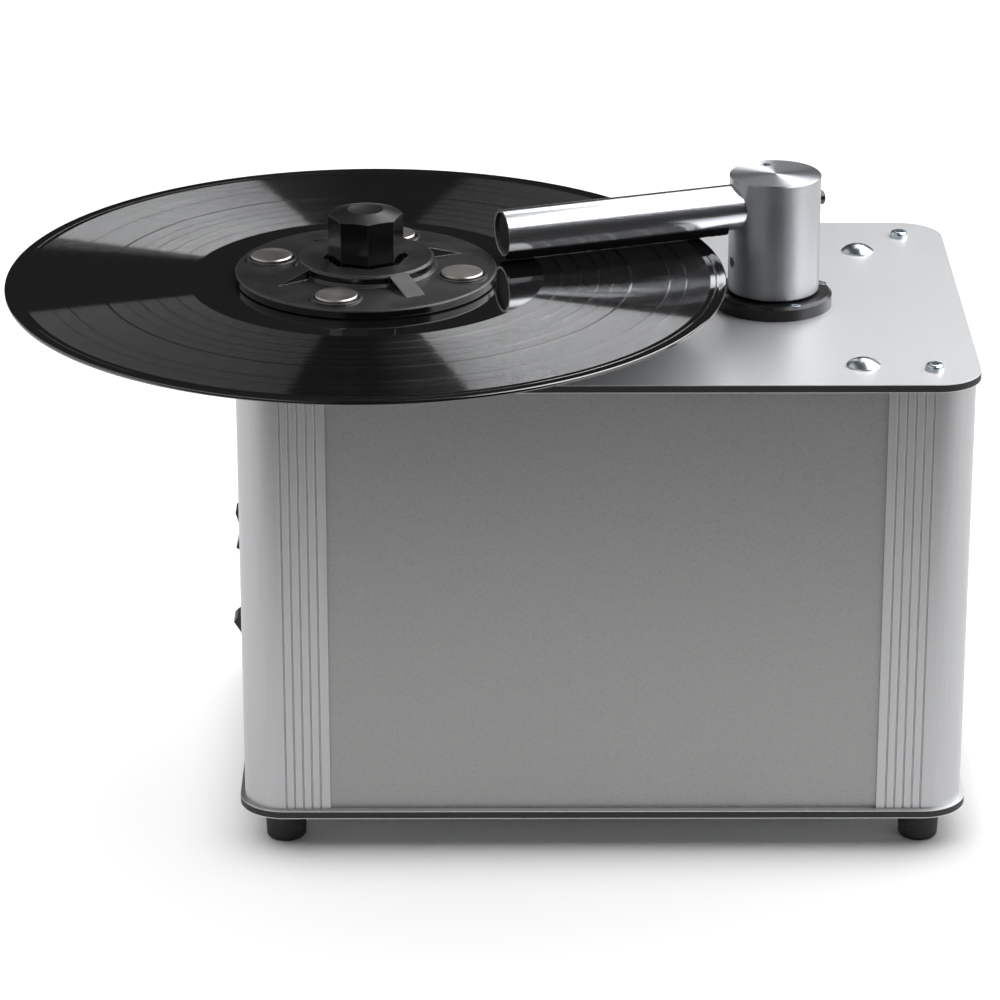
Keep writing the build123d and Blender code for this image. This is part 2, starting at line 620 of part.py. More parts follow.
def bearing_screws():
    length = BEARING_FLANGE_THICKNESS + PLATE_THICKNESS + STANDOFF_THREAD_DEPTH - SCREW_END_GAP
    screw = pan_screw(BEARING_HEAD_RADIUS, BEARING_HEAD_HEIGHT, BEARING_SHANK_RADIUS, length)
    level = Pos(0, 0, deck + BEARING_FLANGE_THICKNESS)
    places = ring_of(BEARING_SCREW_COUNT, BEARING_SCREW_CIRCLE, 45)
    return group(at_spindle * place * level * screw for place in places)


def motor_standoffs():
    """Pillars that hang the gear motor under the top plate, threaded for the bearing screws."""
    pillar = rod(STANDOFF_RADIUS, gearbox_top, frame_top)
    pillar -= rod(BEARING_SHANK_RADIUS + RUNNING_FIT, frame_top - STANDOFF_THREAD_DEPTH, frame_top)
    places = ring_of(BEARING_SCREW_COUNT, BEARING_SCREW_CIRCLE, 45)
    return group(at_spindle * place * pillar for place in places)


def gear_motor():
    """Gearbox with its hollow output hub, and the motor can below it."""
    gearbox_base = gearbox_top - GEARBOX_HEIGHT
    motor_base = gearbox_base - PLATTER_MOTOR_LENGTH
    box = rod(GEARBOX_RADIUS, gearbox_base, gearbox_top)
    box = chamfer(box.edges().filter_by(GeomType.CIRCLE), GEARBOX_EDGE)
    can = rod(PLATTER_MOTOR_RADIUS, motor_base, gearbox_base)
    can = fillet(can.edges().group_by(Axis.Z)[0], GEARBOX_EDGE)
    body = box + can
    body -= rod(SPINDLE_RADIUS + RUNNING_FIT, gearbox_top - SPINDLE_ENGAGEMENT - SEAT_GAP, gearbox_top)
    return at_spindle * body


def spindle():
    """Driven shaft with the slim centre pin that passes through the record."""
    shoulder = record_base - MAT_THICKNESS
    shaft = rod(SPINDLE_RADIUS, gearbox_top - SPINDLE_ENGAGEMENT, shoulder)
    pin = rod(CENTRE_PIN_RADIUS, shoulder, record_top + CENTRE_PIN_HEIGHT)
    pin = chamfer(pin.edges().group_by(Axis.Z)[-1], CENTRE_PIN_RADIUS / 3)
    return at_spindle * (shaft + pin)


def platter():
    """Label-sized turned platter with a hub and a recess for its mat."""
    floor = platter_top - MAT_RECESS
    hub_base = platter_base - PLATTER_HUB_LENGTH
    bore = SPINDLE_RADIUS + RUNNING_FIT
    rim = PLATTER_RADIUS - PLATTER_RIM
    under = platter_base + PLATTER_THICKNESS / 2
    return at_spindle * turned(
        (bore, hub_base), (PLATTER_HUB_RADIUS, hub_base), (PLATTER_HUB_RADIUS, under),
        (rim - PLATTER_RIM, under), (rim - PLATTER_RIM, platter_base),
        (PLATTER_RADIUS - PLATTER_FOOT_CHAMFER, platter_base),
        (PLATTER_RADIUS, platter_base + PLATTER_FOOT_CHAMFER),
        (PLATTER_RADIUS, platter_top - PLATTER_EDGE), (PLATTER_RADIUS - PLATTER_EDGE, platter_top),
        (rim, platter_top), (rim, floor), (bore, floor))


def platter_mat():
    edge = PLATTER_RADIUS - PLATTER_RIM - ASSEMBLY_FIT
    hole = CENTRE_PIN_RADIUS + SOFT_GAP
    return at_spindle * pipe(edge, hole, record_base - MAT_THICKNESS, record_base)


def record():
    """Twelve inch record: raised rim bead and label, thinner playing area."""
    hole = CENTRE_PIN_RADIUS + RUNNING_FIT
    sink = (RECORD_THICKNESS - RECORD_LAND_THICKNESS) / 2
    bead = RECORD_RADIUS - RECORD_BEAD_WIDTH + RECORD_SLOPE
    bead_foot = RECORD_RADIUS - RECORD_BEAD_WIDTH
    label_foot = LABEL_RADIUS + RECORD_SLOPE
    soft = RECORD_THICKNESS / 4
    return at_spindle * turned(
        (hole, record_base), (LABEL_RADIUS, record_base), (label_foot, record_base + sink),
        (bead_foot, record_base + sink), (bead, record_base), (RECORD_RADIUS - soft, record_base),
        (RECORD_RADIUS, record_base + soft), (RECORD_RADIUS, record_top - soft),
        (RECORD_RADIUS - soft, record_top), (bead, record_top), (bead_foot, record_top - sink),
        (label_foot, record_top - sink), (LABEL_RADIUS, record_top), (hole, record_top))


# ---------------------------------------------------------------- record clamp
def flange_level(radius):
    """Height of the clamp's sloping flange above the record."""
    share = (CLAMP_RADIUS - radius) / (CLAMP_RADIUS - CLAMP_RING_RADIUS)
    return CLAMP_RIM_HEIGHT + share * (CLAMP_FLANGE_HEIGHT - CLAMP_RIM_HEIGHT)


def clamp_rib():
    """Sloping bridge from the top of the raised ring down to the flange."""
    crown = CLAMP_RING_HEIGHT - CLAMP_RING_DISH / 2
    inner = CLAMP_RING_RADIUS - 2 * CLAMP_RING_EDGE
    root = flange_level(CLAMP_RIB_REACH) - CLAMP_WALL / 2
    tip = flange_level(CLAMP_RIB_REACH)
    side = make_face(Polyline(
        (inner, root), (CLAMP_RIB_REACH, root), (CLAMP_RIB_REACH, tip),
        (CLAMP_RING_RADIUS, crown), (inner, crown), close=True))
    return extrude(Plane.XZ * side, CLAMP_RIB_WIDTH / 2, both=True)


def clamp_body():
    """Moulded clamp: flange, raised ring, octagonal well, bridges, disc collars and a ribbed underside."""
    foot_face = SOFT_GAP + SEAT_GAP
    chamfer_in = CLAMP_RADIUS - CLAMP_RIM_CHAMFER
    well_radius = CLAMP_WELL_FLATS / 2 / math.cos(math.pi / KNOB_SIDES)
    ring_low = CLAMP_RING_HEIGHT - CLAMP_RING_DISH
    well_floor = ring_low - CLAMP_WELL_DEPTH
    ring_in = CLAMP_RING_RADIUS - CLAMP_RING_EDGE
    ring_foot = CLAMP_RING_RADIUS + CLAMP_RING_FILLET
    body = turned(
        (0, foot_face), (CLAMP_RADIUS, foot_face), (CLAMP_RADIUS, CLAMP_RIM_HEIGHT - CLAMP_RIM_CHAMFER),
        (chamfer_in, CLAMP_RIM_HEIGHT), (ring_foot, flange_level(ring_foot)),
        (CLAMP_RING_RADIUS, CLAMP_FLANGE_HEIGHT + CLAMP_RING_FILLET),
        (CLAMP_RING_RADIUS, CLAMP_RING_HEIGHT - CLAMP_RING_EDGE),
        (ring_in, CLAMP_RING_HEIGHT), (well_radius, ring_low), (0, ring_low))
    for place in ring_of(CLAMP_RIB_COUNT, 0, CLAMP_RIB_ANGLE):
        body += place * clamp_rib()
    well = extrude(RegularPolygon(CLAMP_WELL_FLATS / 2, KNOB_SIDES, major_radius=False), CLAMP_RING_HEIGHT)
    body -= Pos(0, 0, well_floor) * Rot(0, 0, KNOB_ANGLE) * well
    for place in ring_of(DISC_COUNT, DISC_CIRCLE, DISC_ANGLE):
        collar_top = flange_level(DISC_CIRCLE) + COLLAR_HEIGHT
        body += place * rod(COLLAR_RADIUS, foot_face + CLAMP_WALL / 2, collar_top)
        body -= place * rod(DISC_RADIUS + DISC_GROOVE, DISC_HEIGHT - DISC_THICKNESS, collar_top)
    seal_out = SEAL_RADIUS + ASSEMBLY_FIT
    seal_in = SEAL_RADIUS - SEAL_WIDTH - ASSEMBLY_FIT
    body -= pipe(seal_out, seal_in, foot_face, SOFT_GAP + SEAL_THICKNESS)
    hollow = turned(
        (CLAMP_HUB_RADIUS, foot_face), (DISC_CIRCLE - DISC_RADIUS - CLAMP_WALL, foot_face),
        (CLAMP_RING_RADIUS - CLAMP_WALL, CLAMP_FLANGE_HEIGHT - CLAMP_WALL),
        (well_radius, well_floor - CLAMP_WALL), (CLAMP_HUB_RADIUS, well_floor - CLAMP_WALL))
    for place in ring_of(CLAMP_UNDER_RIBS, 0, CLAMP_RIB_ANGLE):
        hollow -= place * block((0, CLAMP_RADIUS), (-CLAMP_UNDER_RIB_WIDTH / 2, CLAMP_UNDER_RIB_WIDTH / 2),
                                (0, CLAMP_RING_HEIGHT))
    body -= hollow
    body -= rod(CENTRE_PIN_RADIUS + RUNNING_FIT, 0, CLAMP_RING_HEIGHT)
    return at_spindle * Pos(0, 0, record_top) * body


def clamp_discs():
    """Steel weights in the collars of the clamp."""
    disc = rod(DISC_RADIUS, DISC_HEIGHT - DISC_THICKNESS, DISC_HEIGHT)
    disc = chamfer(disc.edges().group_by(Axis.Z)[-1], DISC_CHAMFER)
    level = Pos(0, 0, record_top)
    return group(at_spindle * level * place * disc for place in ring_of(DISC_COUNT, DISC_CIRCLE, DISC_ANGLE))


def clamp_seal():
    """Rubber ring that keeps fluid off the label."""
    lip = record_top + SOFT_GAP
    return at_spindle * pipe(SEAL_RADIUS, SEAL_RADIUS - SEAL_WIDTH, lip, lip + SEAL_THICKNESS)


def knob_foot():
    """Height of the knob's underside above the record."""
    return CLAMP_RING_HEIGHT - CLAMP_RING_DISH - CLAMP_WELL_DEPTH + SEAT_GAP


def clamp_knob():
    """Octagonal knob with a coned shoulder and a dished crown."""
    low = knob_foot()
    shoulder = KNOB_HEIGHT - KNOB_SHOULDER_DROP
    prism = Pos(0, 0, low) * extrude(RegularPolygon(KNOB_CORNER_RADIUS, KNOB_SIDES), KNOB_HEIGHT - low)
    envelope = turned(
        (0, low), (KNOB_CORNER_RADIUS - KNOB_FOOT_CHAMFER, low),
        (KNOB_CORNER_RADIUS, low + KNOB_FOOT_CHAMFER), (KNOB_CORNER_RADIUS, shoulder),
        (KNOB_CROWN_RADIUS, KNOB_HEIGHT), (0, KNOB_HEIGHT))
    knob = Rot(0, 0, KNOB_ANGLE) * prism & envelope
    dish = (KNOB_CROWN_RADIUS ** 2 + KNOB_DISH_DEPTH ** 2) / (2 * KNOB_DISH_DEPTH)
    knob -= Pos(0, 0, KNOB_HEIGHT - KNOB_DISH_DEPTH + dish) * Sphere(dish)
    knob -= rod(INSERT_RADIUS + RUNNING_FIT, low, low + INSERT_LENGTH)
    knob -= rod(CENTRE_PIN_RADIUS + ASSEMBLY_FIT, low, CENTRE_PIN_HEIGHT + KNOB_BORE_CLEARANCE)
    return at_spindle * Pos(0, 0, record_top) * knob


def knob_insert():
    """Brass bush in the knob that runs on the centre pin."""
    low = record_top + knob_foot()
    return at_spindle * pipe(INSERT_RADIUS, CENTRE_PIN_RADIUS + RUNNING_FIT, low, low + INSERT_LENGTH)


# ---------------------------------------------------------------- suction arm
def countersink(fit):
    """Cone of a flange screw's head, point down with its rim at Z = 0, grown by a fit."""
    sink = FLANGE_SCREW_HEAD - FLANGE_SCREW_SHANK
    return turned((0, -sink - fit), (FLANGE_SCREW_SHANK, -sink - fit), (FLANGE_SCREW_HEAD + fit, 0), (0, 0))


def arm_flange():
    """Black flange that clamps the arm's pillar to the top plate."""
    body = rod(FLANGE_RADIUS, deck, flange_top)
    body = chamfer(body.edges().group_by(Axis.Z)[-1], FLANGE_CHAMFER)
    body -= rod(PILLAR_RADIUS + ASSEMBLY_FIT, deck, flange_top)
    body -= rod(PILLAR_SHOULDER_RADIUS + ASSEMBLY_FIT, deck, deck + PILLAR_SHOULDER_THICKNESS)
    for place in ring_of(FLANGE_SCREW_COUNT, FLANGE_SCREW_CIRCLE, FLANGE_SCREW_ANGLE):
        body -= place * rod(FLANGE_SCREW_SHANK + ASSEMBLY_FIT, deck, flange_top)
        body -= place * Pos(0, 0, flange_top) * countersink(ASSEMBLY_FIT)
    return at_arm * body


def arm_flange_screws():
    """Countersunk screws, flush with the flange."""
    screw = countersink(0) + Cylinder(FLANGE_SCREW_SHANK, FLANGE_SCREW_LENGTH, align=FACE_DOWN)
    screw -= cross_recess(FLANGE_SCREW_HEAD * 1.2, FLANGE_SCREW_SHANK / 2)
    places = ring_of(FLANGE_SCREW_COUNT, FLANGE_SCREW_CIRCLE, FLANGE_SCREW_ANGLE)
    return group(at_arm * place * Pos(0, 0, flange_top) * screw for place in places)


def arm_pillar():
    """Fixed suction pipe: shoulder on the top plate, barbed tail for the hose."""
    shoulder = deck + PILLAR_SHOULDER_THICKNESS
    barb = PILLAR_RADIUS + PILLAR_BARB
    body = turned(
        (PILLAR_BORE, pillar_foot), (PILLAR_RADIUS, pillar_foot), (barb, pillar_foot + PILLAR_BARB_LENGTH),
        (PILLAR_RADIUS, pillar_foot + PILLAR_BARB_LENGTH + PILLAR_EDGE), (PILLAR_RADIUS, deck),
        (PILLAR_SHOULDER_RADIUS, deck), (PILLAR_SHOULDER_RADIUS, shoulder), (PILLAR_RADIUS, shoulder),
        (PILLAR_RADIUS, pillar_top - PILLAR_EDGE), (PILLAR_RADIUS - PILLAR_EDGE, pillar_top),
        (PILLAR_BORE, pillar_top))
    return at_arm * body


def pillar_nut():
    nut = hex_nut(PILLAR_NUT_FLATS, PILLAR_NUT_THICKNESS, PILLAR_RADIUS + RUNNING_FIT)
    return at_arm * Pos(0, 0, frame_top - PILLAR_NUT_THICKNESS) * nut


def arm_spring():
    """Flat-wire coil spring round the pillar that carries the sleeve and the arm."""
    half_wire = SPRING_WIRE[1] / 2
    low = flange_top + half_wire + ASSEMBLY_FIT
    height = sleeve_base - SOFT_GAP - half_wire - low
    coil = Pos(0, 0, low) * Helix(height / SPRING_TURNS, height, SPRING_MEAN_RADIUS)
    wire = Plane(origin=coil @ 0, x_dir=(1, 0, 0), z_dir=coil % 0) * Rectangle(*SPRING_WIRE)
    return at_arm * sweep(wire, path=coil, is_frenet=True)


def arm_sleeve():
    """Plain bush that slides on the pillar and carries the turning post."""
    return at_arm * pipe(sleeve_radius, PILLAR_RADIUS + RUNNING_FIT, sleeve_base, sleeve_top)


def lengthwise(radius, start, end):
    """Cylinder along the arm's tube axis, in the arm's own frame."""
    return Pos(start, 0, tube_axis) * Rot(0, 90, 0) * Cylinder(radius, end - start, align=FACE_UP)


def post_screw_place():
    """Where the small screw in the top of the post sits, in the arm's own frame."""
    return Rot(0, 0, POST_SCREW_ANGLE) * Pos(POST_SCREW_CIRCLE, 0, post_top)


def grub_place(sink):
    """Mouth of the grub screw hole under the tube, facing outwards, in the arm's own frame."""
    return Pos(POST_RADIUS - sink, 0, post_base + GRUB_HEIGHT) * Rot(0, 90, 0)


def arm_post():
    """Turned post: pocket for the sleeve, suction chamber and socket for the tube."""
    body = rod(POST_RADIUS, post_base, post_top)
    body = chamfer(body.edges().filter_by(GeomType.CIRCLE), POST_EDGE)
    body -= rod(sleeve_radius + RUNNING_FIT, post_base, pocket_top)
    body -= rod(POST_CHAMBER_RADIUS, pocket_top, tube_axis)
    body -= lengthwise(TUBE_RADIUS + RUNNING_FIT, TUBE_SEAT, POST_RADIUS)
    body -= lengthwise(TUBE_RADIUS - TUBE_WALL, -POST_CHAMBER_END, TUBE_SEAT)
    body -= lengthwise(TUBE_SCREW_SHANK_RADIUS + RUNNING_FIT, -POST_RADIUS, -POST_CHAMBER_END)
    body -= post_screw_place() * rod(POST_SCREW_RADIUS + RUNNING_FIT, -POST_SCREW_LENGTH - POST_SCREW_SINK, 0)
    body -= grub_place(0) * rod(GRUB_RADIUS + RUNNING_FIT, -GRUB_LENGTH - GRUB_SINK, 0)
    return along_arm * body


def arm_screws():
    """Tube screw on the far side of the post, post screw in its top and grub screw under the tube."""
    shank = POST_RADIUS - POST_CHAMBER_END
    head = rod(TUBE_SCREW_HEAD_RADIUS, 0, TUBE_SCREW_HEAD_LENGTH)
    head = chamfer(head.edges().group_by(Axis.Z)[-1], TUBE_SCREW_CHAMFER)
    tube_screw = head + Cylinder(TUBE_SCREW_SHANK_RADIUS, shank, align=FACE_DOWN)
    tube_screw = Pos(-POST_RADIUS, 0, tube_axis) * Rot(0, -90, 0) * tube_screw
    post_screw = Pos(0, 0, -POST_SCREW_SINK) * socket_screw(POST_SCREW_RADIUS, POST_SCREW_LENGTH)
    post_screw = post_screw_place() * post_screw
    grub_screw = grub_place(GRUB_SINK) * socket_screw(GRUB_RADIUS, GRUB_LENGTH)
    return group(along_arm * screw for screw in (tube_screw, post_screw, grub_screw))


def suction_tube():
    """Polished tube with the suction slot along its underside."""
    body = lengthwise(TUBE_RADIUS, TUBE_SEAT, tube_reach)
    body -= lengthwise(TUBE_RADIUS - TUBE_WALL, TUBE_SEAT, tube_reach)
    half = SLOT_WIDTH / 2
    depth = (tube_axis - TUBE_RADIUS, tube_axis - TUBE_RADIUS / 2)
    body -= block((SLOT_START, tube_reach - SLOT_END_MARGIN), (-half, half), depth)
    return along_arm * body


def tube_plug():
    """Black stopper just inside the open end of the tube."""
    end = tube_reach - PLUG_RECESS
    return along_arm * lengthwise(TUBE_RADIUS - TUBE_WALL - RUNNING_FIT, end - PLUG_LENGTH, end)


def velvet_strips():
    """Velvet strips on both sides of the suction slot."""
    outer = TUBE_RADIUS + STRIP_THICKNESS
    shell = Circle(outer) - Circle(TUBE_RADIUS + RUNNING_FIT)
    width = STRIP_REACH - SLOT_WIDTH / 2
    half_strip = Pos(SLOT_WIDTH / 2, -outer) * Rectangle(width, outer, align=Align.MIN)
    strip = shell & half_strip
    upright = Plane(origin=(STRIP_START, 0, tube_axis), x_dir=(0, 1, 0), z_dir=(1, 0, 0))
    length = tube_reach - PLUG_RECESS - STRIP_START
    solid = extrude(upright * strip, length)
    return along_arm * group([solid, mirror(solid, about=Plane.XZ)])


# ---------------------------------------------------------------- tank and hoses
def tank_outline(shrink):
    """Plan outline of the tank, drawn in from its outer face."""
    width = tank_right - tank_left - 2 * shrink
    depth = tank_back - tank_front - 2 * shrink
    middle = Pos((tank_left + tank_right) / 2, (tank_front + tank_back) / 2)
    return middle * RectangleRounded(width, depth, TANK_CORNER - shrink)


def waste_tank():
    """Open-topped tank for the used fluid."""
    body = Pos(0, 0, frame_base) * extrude(tank_outline(0), TANK_HEIGHT)
    body -= Pos(0, 0, frame_base + TANK_WALL) * extrude(tank_outline(TANK_WALL), TANK_HEIGHT)
    hole = Pos(drain_x, tank_back, drain_level) * Rot(90, 0, 0)
    return body - hole * Cylinder(DRAIN_RADIUS + ASSEMBLY_FIT, 4 * TANK_WALL)


def tank_lid():
    """Lid with a locating lip and two hose spigots."""
    rim = frame_base + TANK_HEIGHT
    inset = TANK_WALL + ASSEMBLY_FIT
    lid = Pos(0, 0, rim) * extrude(tank_outline(0), LID_THICKNESS)
    lip = extrude(tank_outline(inset) - tank_outline(inset + TANK_WALL), LID_LIP_DEPTH)
    lid += Pos(0, 0, rim - LID_LIP_DEPTH) * lip
    for x, y in ((arm_x, arm_y), suction_spigot):
        lid += Pos(x, y, 0) * rod(SPIGOT_RADIUS, rim, spigot_top)
        lid -= Pos(x, y, 0) * rod(SPIGOT_RADIUS - SPIGOT_WALL, rim - LID_LIP_DEPTH, spigot_top)
    return lid


def tank_bracket():
    """Bent steel bracket: hangs from the dome bolts and holds the tank down by its lid."""
    web = tank_right + ASSEMBLY_FIT
    foot_start = tank_right - BRACKET_FOOT_WIDTH
    flange_start = web + BRACKET_THICKNESS - BRACKET_TOP_WIDTH
    section = make_face(Polyline(
        (flange_start, frame_top), (web + BRACKET_THICKNESS, frame_top),
        (web + BRACKET_THICKNESS, lid_top), (foot_start, lid_top),
        (foot_start, lid_top + BRACKET_THICKNESS), (web, lid_top + BRACKET_THICKNESS),
        (web, frame_top - BRACKET_THICKNESS), (flange_start, frame_top - BRACKET_THICKNESS), close=True))
    front = min(y for _, y in dome_bolt_places) - BRACKET_BOLT_MARGIN
    back = max(y for _, y in dome_bolt_places) + BRACKET_BOLT_MARGIN
    sheet = Pos(0, back, 0) * extrude(Plane.XZ * section, back - front)
    hole = rod(DOME_SHANK_RADIUS + SCREW_HOLE_FIT, frame_top - BRACKET_THICKNESS, frame_top)
    for x, y in dome_bolt_places:
        sheet -= Pos(x, y, 0) * hole
    return sheet - at_arm * rod(PILLAR_NUT_FLATS / 2 + BRACKET_NUT_GAP, lid_top, frame_top)


def arm_hose():
    """Straight hose from the pillar's tail down to the tank lid."""
    bore = PILLAR_RADIUS + PILLAR_BARB + ASSEMBLY_FIT
    top = pillar_foot + INLET_SPIGOT_LENGTH / 2
    return at_arm * pipe(bore + HOSE_WALL, bore, lid_top + ASSEMBLY_FIT, top)


def suction_hose():
    """Hose that rises from the tank lid, crosses over and drops onto the fan inlet."""
    crest = frame_top - HOSE_DROP
    start = (*suction_spigot, lid_top + ASSEMBLY_FIT)
    end = (vacuum_x, vacuum_y, fan_top + ASSEMBLY_FIT)
    route = FilletPolyline(start, (start[0], start[1], crest), (end[0], end[1], crest), end, radius=HOSE_BEND)
    bore = SPIGOT_RADIUS + ASSEMBLY_FIT
    wall = Plane(origin=start) * (Circle(bore + HOSE_WALL) - Circle(bore))
    return sweep(wall, path=route)


def drain_spout():
    """Drain fitting: flange inside the tank, threaded through its wall and the back panel."""
    inner = tank_back - TANK_WALL - DRAIN_FLANGE_THICKNESS
    flange = Cylinder(DRAIN_FLANGE_RADIUS, DRAIN_FLANGE_THICKNESS, align=FACE_UP)
    stem = Cylinder(DRAIN_RADIUS, drain_end - inner, align=FACE_UP)
    bore = Cylinder(DRAIN_RADIUS - DRAIN_WALL, drain_end - inner, align=FACE_UP)
    return Pos(drain_x, inner, drain_level) * Rot(-90, 0, 0) * (flange + stem - bore)


def drain_cap():
    """Ribbed push-on cap over the drain spout."""
    bore = DRAIN_RADIUS + SOFT_GAP
    radius = bore + DRAIN_CAP_WALL
    start = panel_back + DRAIN_CAP_CLEARANCE
    depth = drain_end + SEAT_GAP - start
    body = Cylinder(radius, drain_cap_end - start, align=FACE_UP)
    body = chamfer(body.edges().group_by(Axis.Z)[-1], DRAIN_CAP_CHAMFER)
    for place in ring_of(DRAIN_CAP_RIBS, radius):
        body -= place * Cylinder(DRAIN_CAP_GROOVE, drain_cap_end - start, align=FACE_UP)
    body -= Cylinder(bore, depth, align=FACE_UP)
    return Pos(drain_x, start, drain_level) * Rot(-90, 0, 0) * body


# ---------------------------------------------------------------- vacuum unit and electrics
def motor_mounts():
    """Rubber blocks under the vacuum motor."""
    mount = rod(MOUNT_RADIUS, frame_base, frame_base + MOUNT_HEIGHT)
    places = ring_of(MOUNT_COUNT, MOUNT_CIRCLE, 90)
    return group(Pos(vacuum_x, vacuum_y, 0) * place * mount for place in places)


def vacuum_motor():
    """Motor can of the vacuum unit."""
    can = rod(VACUUM_MOTOR_RADIUS, frame_base + MOUNT_HEIGHT, fan_base)
    can = fillet(can.edges().group_by(Axis.Z)[0], FAN_EDGE)
    return Pos(vacuum_x, vacuum_y, 0) * can


def fan_housing():
    """Drum of the suction fan with its inlet pipe and the exhaust duct to the back panel."""
    drum = rod(FAN_RADIUS, fan_base, fan_top)
    drum = fillet(drum.edges().filter_by(GeomType.CIRCLE), FAN_EDGE)
    drum += rod(SPIGOT_RADIUS, fan_top, fan_top + FAN_INLET_LENGTH)
    drum -= rod(SPIGOT_RADIUS - SPIGOT_WALL, fan_top - FAN_EDGE, fan_top + FAN_INLET_LENGTH)
    reach = panel_back - PANEL_THICKNESS - vacuum_y
    half_width = EXHAUST_WIDTH / 2
    low = exhaust_level - EXHAUST_HEIGHT / 2
    high = exhaust_level + EXHAUST_HEIGHT / 2
    duct = block((-half_width, half_width), (0, reach), (low, high))
    inner_half = half_width - EXHAUST_WALL
    air = block((-inner_half, inner_half), (FAN_RADIUS - EXHAUST_HEIGHT, reach),
                (low + EXHAUST_WALL, high - EXHAUST_WALL))
    return Pos(vacuum_x, vacuum_y, 0) * (drum + duct - air)


def power_board():
    """Supply board on stand-offs behind the front panel, with a transformer and a capacitor."""
    inside = -HOUSING_DEPTH / 2 + PROFILE_LIP + PANEL_THICKNESS
    low = frame_base + BOARD_BASE
    face = inside + BOARD_STANDOFF + BOARD_DEPTH
    half = BOARD_WIDTH / 2
    middle = spindle_x + PLATTER_MOTOR_RADIUS + BOARD_MOTOR_GAP + half
    board = block((middle - half, middle + half), (inside + BOARD_STANDOFF, face), (low, low + BOARD_HEIGHT))
    for side in (-1, 1):
        for level in (low + BOARD_STANDOFF, low + BOARD_HEIGHT - BOARD_STANDOFF):
            place = Pos(middle + side * (half - BOARD_STANDOFF), inside, level) * Rot(-90, 0, 0)
            board += place * Cylinder(BOARD_STANDOFF / 2, BOARD_STANDOFF, align=FACE_UP)
    width, depth, height = TRANSFORMER_SIZE
    board += Pos(middle - half / 2, face + depth / 2, low + BOARD_HEIGHT / 2) * Box(width, depth, height)
    can = Pos(middle + half / 2, face, low + BOARD_HEIGHT / 2) * Rot(-90, 0, 0)
    return board + can * Cylinder(CAPACITOR_RADIUS, CAPACITOR_LENGTH, align=FACE_UP)


def inlet_prism(size, low, high):
    """Upright prism with the two clipped corners of a mains inlet, between two depths."""
    width, height = size[0] / 2, size[1] / 2
    outline = make_face(Polyline(
        (-width, -height), (width, -height), (width, height - INLET_CORNER), (width - INLET_CORNER, height),
        (INLET_CORNER - width, height), (-width, height - INLET_CORNER), close=True))
    wall = Plane(origin=(inlet_x, high, inlet_level), x_dir=(1, 0, 0), z_dir=(0, -1, 0))
    return extrude(wall * outline, high - low)


def mains_inlet():
    """Panel socket for a mains lead, with its flange outside the back panel."""
    face = panel_back + INLET_FLANGE[2]
    flange = Pos(inlet_x, panel_back + INLET_FLANGE[2] / 2, inlet_level) * Rot(90, 0, 0)
    outline = RectangleRounded(INLET_FLANGE[0], INLET_FLANGE[1], INLET_CORNER)
    body = flange * extrude(outline, INLET_FLANGE[2] / 2, both=True)
    body += Pos(inlet_x, panel_back, inlet_level) * Box(
        INLET_BODY[0], INLET_BODY[2], INLET_BODY[1], align=(Align.CENTER, Align.MAX, Align.CENTER))
    body -= inlet_prism(INLET_SOCKET, face - INLET_SOCKET[2], face)
    for side in (-1, 1):
        hole = Pos(inlet_x + side * INLET_SCREW_SPACING / 2, panel_back, inlet_level) * Rot(-90, 0, 0)
        body -= hole * Cylinder(INLET_SCREW_RADIUS + ASSEMBLY_FIT, INLET_FLANGE[2], align=FACE_UP)
    return body


def inlet_pins():
    """Three flat contact pins inside the mains inlet."""
    root = panel_back + INLET_FLANGE[2] - INLET_SOCKET[2]
    pin = Box(PIN_SIZE[0], PIN_SIZE[1], PIN_SIZE[2], align=(Align.CENTER, Align.MIN, Align.CENTER))
    spots = [(-PIN_SPREAD, -PIN_DROP), (PIN_SPREAD, -PIN_DROP), (0, PIN_RISE)]
    return group(Pos(inlet_x + x, root, inlet_level + z) * pin for x, z in spots)


def inlet_screws():
    length = INLET_FLANGE[2] + PANEL_THICKNESS + INLET_FLANGE[2]
    screw = pan_screw(INLET_HEAD_RADIUS, INLET_HEAD_HEIGHT, INLET_SCREW_RADIUS, length)
    face = panel_back + INLET_FLANGE[2]
    places = [Pos(inlet_x + side * INLET_SCREW_SPACING / 2, face, inlet_level) for side in (-1, 1)]
    return group(place * Rot(-90, 0, 0) * screw for place in places)


# ---------------------------------------------------------------- rocker switches
def switch_frame(level):
    """Snap-in switch body with its bezel outside the left panel."""
    outline = RectangleRounded(BEZEL_WIDTH, BEZEL_HEIGHT, BEZEL_CORNER)
    upright = Plane(origin=(panel_left, switch_y, level), x_dir=(0, 1, 0), z_dir=(-1, 0, 0))
    bezel = extrude(upright * outline, BEZEL_THICKNESS)
    body_width = BEZEL_WIDTH - 2 * SWITCH_BODY_MARGIN
    body_height = BEZEL_HEIGHT - 2 * SWITCH_BODY_MARGIN
    body = Pos(panel_left, switch_y, level) * Box(
        SWITCH_BODY_DEPTH, body_width, body_height, align=(Align.MIN, Align.CENTER, Align.CENTER))
    frame = bezel + body
    well_width = ROCKER_WIDTH + 2 * ROCKER_GAP
    well_height = 2 * (ROCKER_RADIUS + ROCKER_GAP)
    well_depth = ROCKER_PIVOT_DEPTH + ROCKER_RADIUS
    frame -= Pos(panel_left - BEZEL_THICKNESS, switch_y, level) * Box(
        BEZEL_THICKNESS + well_depth, well_width, well_height, align=(Align.MIN, Align.CENTER, Align.CENTER))
    return frame


